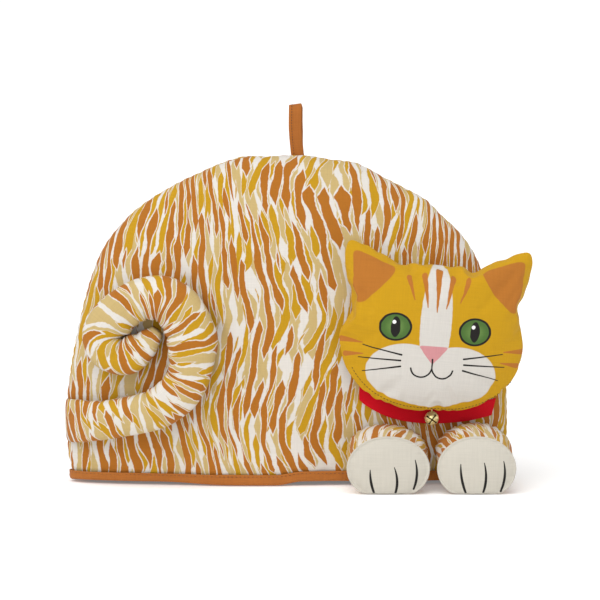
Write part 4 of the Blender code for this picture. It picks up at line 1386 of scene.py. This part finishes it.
# --------------------------------------------------------------------- collar
def felt_band(tree, mats):
    """Flat strip of felt on the front panel, its right end cut on the slant."""
    line = even(smooth(COLLAR, 12), 90)
    run = run_of(line)
    d = np.gradient(line, axis=0)
    d /= np.linalg.norm(d, axis=1, keepdims=True)
    up = np.stack([-d[:, 1], d[:, 0]], -1)
    share = np.linspace(-0.5, 0.5, 9)
    q = line[:, None, :] + up[:, None, :] * (share * COLLAR_W)[None, :, None]
    # both ends are cut upright and run in under the chin
    late = step(run[-1] - 0.016, run[-1], run)[:, None]
    early = step(0.016, 0.0, run)[:, None]
    q = q + d[:, None, :] * (late * (share + 0.5)[None, :] * 0.0060
                             - early * (0.0004 + 0.0107 * share)[None, :])[..., None]
    flat = np.stack([q[..., 0], 0 * q[..., 0] - 0.1, q[..., 1]], -1).reshape(-1, 3)
    hit, _ = cast(tree, flat)
    lie = np.stack([q[..., 0], hit[:, 1].reshape(q.shape[:2]), q[..., 1]], -1)
    base = front_y(lie[..., 0], lie[..., 2])
    y = np.where(np.isnan(lie[..., 1]), base, lie[..., 1])
    y = np.minimum(y, base + 0.0008)
    lie[..., 1] = y - GAP - 0.0003 * (1 + line_noise(run, 0.02, 91))[:, None]
    back = lie.copy()
    front = lie.copy()
    thick = COLLAR_T * (1 - 0.35 * np.abs(2 * share) ** 6)
    front[..., 1] -= thick[None, :]
    uv = np.stack([np.repeat(run[:, None], 9, 1), np.repeat(share[None] * COLLAR_W, 90, 0)], -1)
    sh = Shape()
    a = sh.grid(front, uv)
    b = sh.grid(back, uv)
    number = np.arange(90 * 9).reshape(90, 9)
    loop = np.concatenate([number[:, 0], number[-1, 1:], number[-2::-1, -1], number[0, -2:0:-1]])
    u = uv.reshape(-1, 2)
    for p, r in zip(loop, np.roll(loop, -1)):
        sh.f.append([int(a + p), int(a + r), int(b + r), int(b + p)])
        sh.uv.extend([list(u[p]), list(u[r]), list(u[r] + 0.001), list(u[p] + 0.001)])
        sh.m.append(0)
    obj = sh.build("felt_collar", mats, crease=50)
    return place(obj, "collar", "red_felt")


# ----------------------------------------------------------------------- bell
def bell(tree, mats):
    """Pressed metal bell: two halves joined at a ridge, crossed slots and a wire eye."""
    x, z = BELL_AT
    y = float(front_y(x, z)) - GAP - COLLAR_T - 0.0006 - BELL_R
    rows, cols = 48, 72
    lat = np.linspace(-math.pi / 2, math.pi / 2, rows + 2)[1:-1]
    lon = np.linspace(0, 2 * math.pi, cols, endpoint=False)
    ridge = 1 + 0.05 * bump(lat, 0.05)
    shape = (BELL_R * ridge)[:, None]

    def ball(r):
        return np.stack([x + r * np.cos(lat)[:, None] * np.cos(lon)[None],
                         y + r * np.cos(lat)[:, None] * np.sin(lon)[None],
                         z + r * np.sin(lat)[:, None] + 0 * lon[None]], -1)
    sh = Shape()
    # an outer shell and a slightly smaller inner one; the inner one takes the second material, painted
    # dark as the shade inside the bell
    for m, r in enumerate((shape, shape * 0 + BELL_R - 0.0004)):
        p = ball(r)
        uv = np.zeros((rows, cols + 1, 2))
        uv[..., 0] = np.linspace(0, 2 * math.pi * BELL_R, cols + 1)[None]
        uv[..., 1] = (lat * BELL_R)[:, None]
        start = sh.grid(p, uv, around=True, m=m)
        k = np.arange(cols)
        sh.fan(start + k, (x, y, z - r[0, 0]), uv[0], uv[0, 0], m=m)
        sh.fan(start + (rows - 1) * cols + k, (x, y, z + r[0, 0]), uv[-1], uv[-1, 0], m=m)
    obj = sh.build("jingle_bell", mats, crease=40)
    # the inner shell faces inward
    bm = bmesh.new()
    bm.from_mesh(obj.data)
    centre = Vector((x, y, z)) - Vector(ORIGIN)
    inner = [f for f in bm.faces if (f.calc_center_median() - centre).length < BELL_R - 0.0002]
    bmesh.ops.recalc_face_normals(bm, faces=bm.faces)
    flip = [f for f in inner if f.normal.dot(f.calc_center_median() - centre) > 0]
    bmesh.ops.reverse_faces(bm, faces=flip)
    rest = set(bm.faces) - set(inner)
    flip = [f for f in rest if f.normal.dot(f.calc_center_median() - centre) < 0]
    bmesh.ops.reverse_faces(bm, faces=flip)
    bm.to_mesh(obj.data)
    bm.free()
    tools = []
    for k in (0, 1):
        bpy.ops.mesh.primitive_cube_add(size=1, location=tuple(
            np.array([x, y - BELL_R, z - 0.0006]) - ORIGIN))
        blade = bpy.context.object
        blade.scale = (0.0084, 0.0060, 0.00095)
        blade.rotation_euler = (0, math.radians(35 + 90 * k), 0)
        cut = obj.modifiers.new("slot", "BOOLEAN")
        cut.operation = "DIFFERENCE"
        cut.object = blade
        cut.solver = "EXACT"
        tools.append(blade)
        for end in (-1, 1):
            ang = math.radians(35 + 90 * k)
            c = np.array([x + end * 0.0042 * math.cos(ang), y - BELL_R * 0.75,
                          z - 0.0006 - end * 0.0042 * math.sin(ang)]) - ORIGIN
            bpy.ops.mesh.primitive_cylinder_add(vertices=20, radius=0.00085, depth=0.008,
                                                location=tuple(c),
                                                rotation=(math.pi / 2, 0, 0))
            drill = bpy.context.object
            cut = obj.modifiers.new("slot end", "BOOLEAN")
            cut.operation = "DIFFERENCE"
            cut.object = drill
            cut.solver = "EXACT"
            tools.append(drill)
    bpy.context.view_layer.update()
    graph = bpy.context.evaluated_depsgraph_get()
    me = bpy.data.meshes.new_from_object(obj.evaluated_get(graph))
    obj.modifiers.clear()
    obj.data = me
    for tool in tools:
        bpy.data.objects.remove(tool)
    # wire eye
    eye = Shape()
    t = np.linspace(0, 2 * math.pi, 28, endpoint=False)
    u = np.linspace(0, 2 * math.pi, 12, endpoint=False)
    big, small = 0.00150, 0.00036
    c = np.array([x, y + 0.0004, z + BELL_R + 0.0009])
    ring = np.stack([0 * t[:, None] + small * np.sin(u)[None],
                     (big + small * np.cos(u)[None]) * np.cos(t)[:, None],
                     (big + small * np.cos(u)[None]) * np.sin(t)[:, None]], -1) + c
    ring = np.concatenate([ring, ring[:1]], 0)
    uv = np.zeros((29, 13, 2))
    start = eye.grid(ring, uv, around=True)
    wire = eye.build("bell_eye", mats, crease=80)
    bm = bmesh.new()
    bm.from_mesh(wire.data)
    bmesh.ops.remove_doubles(bm, verts=bm.verts, dist=1e-6)
    bmesh.ops.recalc_face_normals(bm, faces=bm.faces)
    bm.to_mesh(wire.data)
    bm.free()
    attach(wire, "root")
    return place(obj, "bell", "gold_metal")


# ----------------------------------------------------------------------- paws
def paw_ring(x0, half, y, wide, low, high, n, shrink=1.0, square=2.2):
    t, oc, os = superoval(n, square)
    mid, tall = (low + high) / 2, (high - low) / 2
    narrow = 1.01 - 0.10 * np.maximum(os, 0) ** 1.3
    return np.stack([x0 + half * wide * shrink * oc * narrow, 0 * oc + y,
                     mid + tall * shrink * os], -1)


def floor_it(p):
    """The floor presses the underside flat."""
    out = p.copy()
    z = p[..., 2]
    soft = 0.0022
    out[..., 2] = np.where(z < soft, soft * np.exp(np.minimum((z - soft) / soft, 0)) * 0.93
                           + 0.00008, z)
    return out


def paw(side, x0, half, mats_sleeve, mats_front):
    n = 84
    table = smooth(np.array(PAW), 10)
    stations = np.linspace(0, 1, 46) ** 0.9

    def sewn(x, z):
        w = section(z)[0]
        y = np.where(np.abs(x) < w, front_y(x, z), 0.0)
        turn = np.minimum(np.abs(x) / w, 1.0) ** 4
        return np.minimum(y, -0.0030) - np.where(z < BIND_H + 0.0030, 0.0022, 0.0004) \
            - 0.0014 * turn
    t, oc, os = superoval(n, 2.2)
    y_end = table[-1, 0]
    rows, back = [], None
    for u in stations:
        # from the sewn edge to the rim
        ring = paw_ring(x0, half, 0.0, *[np.interp(-y_end * u, -table[:, 0], table[:, k])
                                         for k in (1, 2, 3)], n)
        start = sewn(ring[:, 0], ring[:, 2])
        ring[:, 1] = start * (1 - u) + y_end * u
        rows.append(ring)
    p = np.array(rows)
    mid = np.array([x0, 0, 0.0225])
    radial = p - mid
    radial[..., 1] = 0
    radial /= np.linalg.norm(radial, axis=2, keepdims=True)
    run_ring = run_of(np.vstack([p[-1], p[-1][:1]]))[:-1]
    depth = (stations[:, None] * (0.0665 - 0.035))
    tuck = np.sin(run_ring / 0.0072 * 2 * math.pi + 2.0 * line_noise(run_ring, 0.02, 101 + int(x0 * 100)))
    ease = 0.6 + 0.4 * line_noise(run_ring, 0.03, 103)
    at_root = bump(stations - 0.06, 0.17)[:, None]
    at_rim = bump(stations - 0.88, 0.13)[:, None]
    lump = 0.0015 * tuck[None] * ease[None] * at_root + 0.00045 * tuck[None] * at_rim
    lump = lump - 0.0022 * bump(stations, 0.07)[:, None] - 0.0012 * bump(stations - 1, 0.035)[:, None]
    lump = lump - (0.0016 * step(0.35, 0.95, stations))[:, None] \
        * (0.35 + 0.65 * (1 - step(0.2, 0.9, os)))[None]
    lump = lump + 0.0008 * noise(p, 0.018, 105) + 0.0003 * noise(p, 0.008, 106)
    p = p + radial * lump[..., None]
    p = floor_it(p)
    ringlen = np.append(run_ring, run_of(np.vstack([p[-1], p[-1][:1]]))[-1])
    uv = np.stack([np.repeat(ringlen[None], len(p), 0) + 1.3 + x0,
                   np.repeat(stations[:, None] * 0.040, n + 1, 1) + 0.2], -1)
    sh = Shape()
    start = sh.grid(p, uv, around=True)
    k = np.arange(n)
    centre = p[0].mean(0)
    centre[1] = float(sewn(x0, 0.027))
    sh.fan(start + k, centre, uv[0], uv[0, 0])
    _, wide, low, high = PAW[-1]
    # the sleeve closes behind the cream front
    rim = floor_it(paw_ring(x0, half, y_end - 0.0003, wide, low, high, n, 0.93))
    more = np.array([rim])
    a = sh.points(more)
    last = start + (len(p) - 1) * n
    quads = np.stack([last + k, last + (k + 1) % n, a + (k + 1) % n, a + k], -1)
    sh.faces(quads, np.stack([uv[-1, k], uv[-1, k + 1], uv[-1, k + 1], uv[-1, k]], -2))
    sh.fan(a + k, (x0, y_end - 0.0025, (low + high) / 2), uv[-1], uv[-1, 0])
    sleeve = sh.build(side + "_paw", mats_sleeve, crease=80)
    place(sleeve, "paw_" + side, "printed_cotton")

    # cream front: a raised bead at the seam, then a soft dome
    share = np.array([1.0, 1.004, 1.0, 0.985, 0.965, 0.945, 0.92, 0.89, 0.85, 0.80, 0.74,
                      0.67, 0.59, 0.50, 0.40, 0.29, 0.17, 0.07])
    lift = np.array([-0.0006, 0.0002, 0.0009, 0.0014, 0.0014, 0.0011, 0.0012, 0.0016,
                     0.0022, 0.0029, 0.0035, 0.0041, 0.0046, 0.0050, 0.0053, 0.0055,
                     0.0056, 0.0056]) * (PAW_DOME / 0.0046)
    rows = []
    for sh_, up in zip(share, lift):
        ring = paw_ring(x0, half, y_end - up, wide, low, high, n, sh_ * 1.01)
        rows.append(ring)
    q = np.array(rows)
    pull = 0.00035 * tuck[None] * bump(share - 0.9, 0.07)[:, None]
    q[..., 1] -= pull + 0.0006 * noise(q, 0.016, 111) * (share < 0.93)[:, None] \
        * step(0.93, 0.8, share)[:, None]
    outer = floor_it(q)
    inner = outer.copy()
    inner[..., 1] += 0.0009
    inner[:3, :, 1] = outer[:3, :, 1] * 0.4 + (y_end + 0.0004) * 0.6
    shrink = np.ones(len(share))
    shrink[:3] = 0.985
    c = np.array([x0, 0, (low + high) / 2])
    inner = (inner - c) * np.stack([shrink, np.ones(len(share)), shrink], -1)[:, None] + c
    inner = np.maximum(inner, [-9, -9, 0.0001])
    uvq = np.stack([q[..., 0] - x0, q[..., 2]], -1)
    uvq = np.concatenate([uvq, uvq[:, :1]], 1)
    sh = Shape()
    o = sh.grid(outer, uvq, around=True)
    i = sh.grid(inner, uvq, around=True)
    quads = np.stack([o + k, o + (k + 1) % n, i + (k + 1) % n, i + k], -1)
    sh.faces(quads, np.stack([uvq[0, k], uvq[0, k + 1], uvq[0, k + 1], uvq[0, k]], -2))
    end = (len(share) - 1) * n
    sh.fan(o + end + k, outer[-1].mean(0) + [0, -0.00002, 0], uvq[-1],
           uvq[-1].mean(0))
    sh.fan(i + end + k, inner[-1].mean(0), uvq[-1], uvq[-1].mean(0))
    front = sh.build(side + "_paw_front", mats_front, crease=80)
    place(front, "paw_front_" + side, "cream_cotton")
    return sleeve, front


# --------------------------------------------------------- stage and camera
def stage_and_camera():
    bpy.ops.mesh.primitive_circle_add(vertices=96, radius=40, fill_type="NGON",
                                      location=(0, 0, -0.0002))
    floor = bpy.context.object
    floor.name = "floor"
    mat = bpy.data.materials.new("floor")
    mat.use_nodes = True
    bs = mat.node_tree.nodes["Principled BSDF"]
    bs.inputs["Base Color"].default_value = (0.94, 0.94, 0.94, 1)
    bs.inputs["Roughness"].default_value = 0.9
    bs.inputs["Specular IOR Level"].default_value = 0.1
    bs.inputs["Emission Color"].default_value = (1, 1, 1, 1)
    bs.inputs["Emission Strength"].default_value = 0.16
    floor.data.materials.append(mat)

    world = bpy.data.worlds.new("studio")
    bpy.context.scene.world = world
    world.use_nodes = True
    tree = world.node_tree
    bg = tree.nodes["Background"]
    tc = tree.nodes.new("ShaderNodeTexCoord")
    sep = tree.nodes.new("ShaderNodeSeparateXYZ")
    ramp = tree.nodes.new("ShaderNodeMapRange")
    ramp.interpolation_type = "SMOOTHSTEP"
    ramp.inputs["From Min"].default_value = 0.10
    ramp.inputs["From Max"].default_value = 0.35
    ramp.inputs["To Min"].default_value = 1.05
    ramp.inputs["To Max"].default_value = 0.50
    tree.links.new(tc.outputs["Generated"], sep.inputs[0])
    tree.links.new(sep.outputs[2], ramp.inputs["Value"])
    tree.links.new(ramp.outputs[0], bg.inputs["Strength"])
    bg.inputs["Color"].default_value = (1, 1, 1, 1)

    key = bpy.data.lights.new("key", "SUN")
    key.energy = 2.15
    key.angle = math.radians(62)
    key_obj = bpy.data.objects.new("key", key)
    bpy.context.scene.collection.objects.link(key_obj)
    d = Vector((0.30, 0.62, -1.0))
    key_obj.rotation_euler = d.to_track_quat("-Z", "Y").to_euler()

    for at, size, power in (((-0.75, -1.25, 0.75), 0.45, 3.0), ((0.9, -1.1, 0.5), 0.3, 1.2)):
        soft = bpy.data.lights.new("soft", "AREA")
        soft.size = size
        soft.energy = power * 0.4
        soft_obj = bpy.data.objects.new("soft", soft)
        bpy.context.scene.collection.objects.link(soft_obj)
        soft_obj.location = at
        soft_obj.rotation_euler = (Vector((0.05, 0, 0.1)) - Vector(at)).to_track_quat(
            "-Z", "Y").to_euler()

    cam = bpy.data.cameras.new("camera")
    cam.lens = 151.9
    cam.sensor_width = 36
    cam.sensor_fit = "HORIZONTAL"
    cam.clip_start, cam.clip_end = 0.05, 200
    cam_obj = bpy.data.objects.new("camera", cam)
    bpy.context.scene.collection.objects.link(cam_obj)
    target = Vector((0.0095, 0.0, 0.14407)) - Vector(ORIGIN)
    el = math.radians(5.0)
    cam_obj.location = target + 2.0 * Vector((0, -math.cos(el), math.sin(el)))
    cam_obj.rotation_euler = (target - cam_obj.location).to_track_quat("-Z", "Y").to_euler()
    bpy.context.scene.camera = cam_obj
    bpy.context.scene.view_settings.view_transform = "Standard"
    bpy.context.scene.view_settings.look = "None"


# ----------------------------------------------------------------------- build
stage_and_camera()
printed = printed_cotton()
inside_cotton = plain_cotton("inside_cotton", (0.70, 0.65, 0.57), 0.05)
rust = plain_cotton("rust_cotton", BINDING, 0.09, fade=0.10)
tape = plain_cotton("rust_tape", (0.365, 0.116, 0.019), 0.09, fade=0.10)
# dark rust thread for the binding's stitches: partly the thread's own colour, partly painted shade for
# the shadow the sunk stitches sit in
seam_thread = thread("rust_thread", (0.150, 0.040, 0.012))
loop_thread = thread("loop_thread", (0.110, 0.030, 0.010))
face = face_cotton()
back_of_head = plain_cotton("mustard_cotton", YELLOW, 0.06)
felt = red_felt()
gold = gold_metal()
# the bell's inner shell, seen through the slots: painted shade, a dark brown standing for the metal in
# shadow
painted_bell_shade = Net("bell_inside_painted_shade", 0.6, colour=(0.16, 0.10, 0.03), metal=0.6).mat
chin_thread = thread("chin_thread", (0.085, 0.036, 0.008))

front = panel("front_panel", "body_front", -1, [printed, inside_cotton])
back = panel("back_panel", "body_back", 1, [printed, inside_cotton])
hem = binding([rust, seam_thread])
loop = strap([tape, loop_thread])
tail = stuffed_tail([printed])
head = stuffed_head([face, back_of_head])
chin_stitches(surface(head), [chin_thread])
front_tree = surface(front)
collar = felt_band(front_tree, [felt])
bell(front_tree, [gold, painted_bell_shade])
paw_parts = [paw(side, x0, half, [printed], [paw_cotton(side)]) for side, x0, half in PAWS]

bpy.context.view_layer.update()
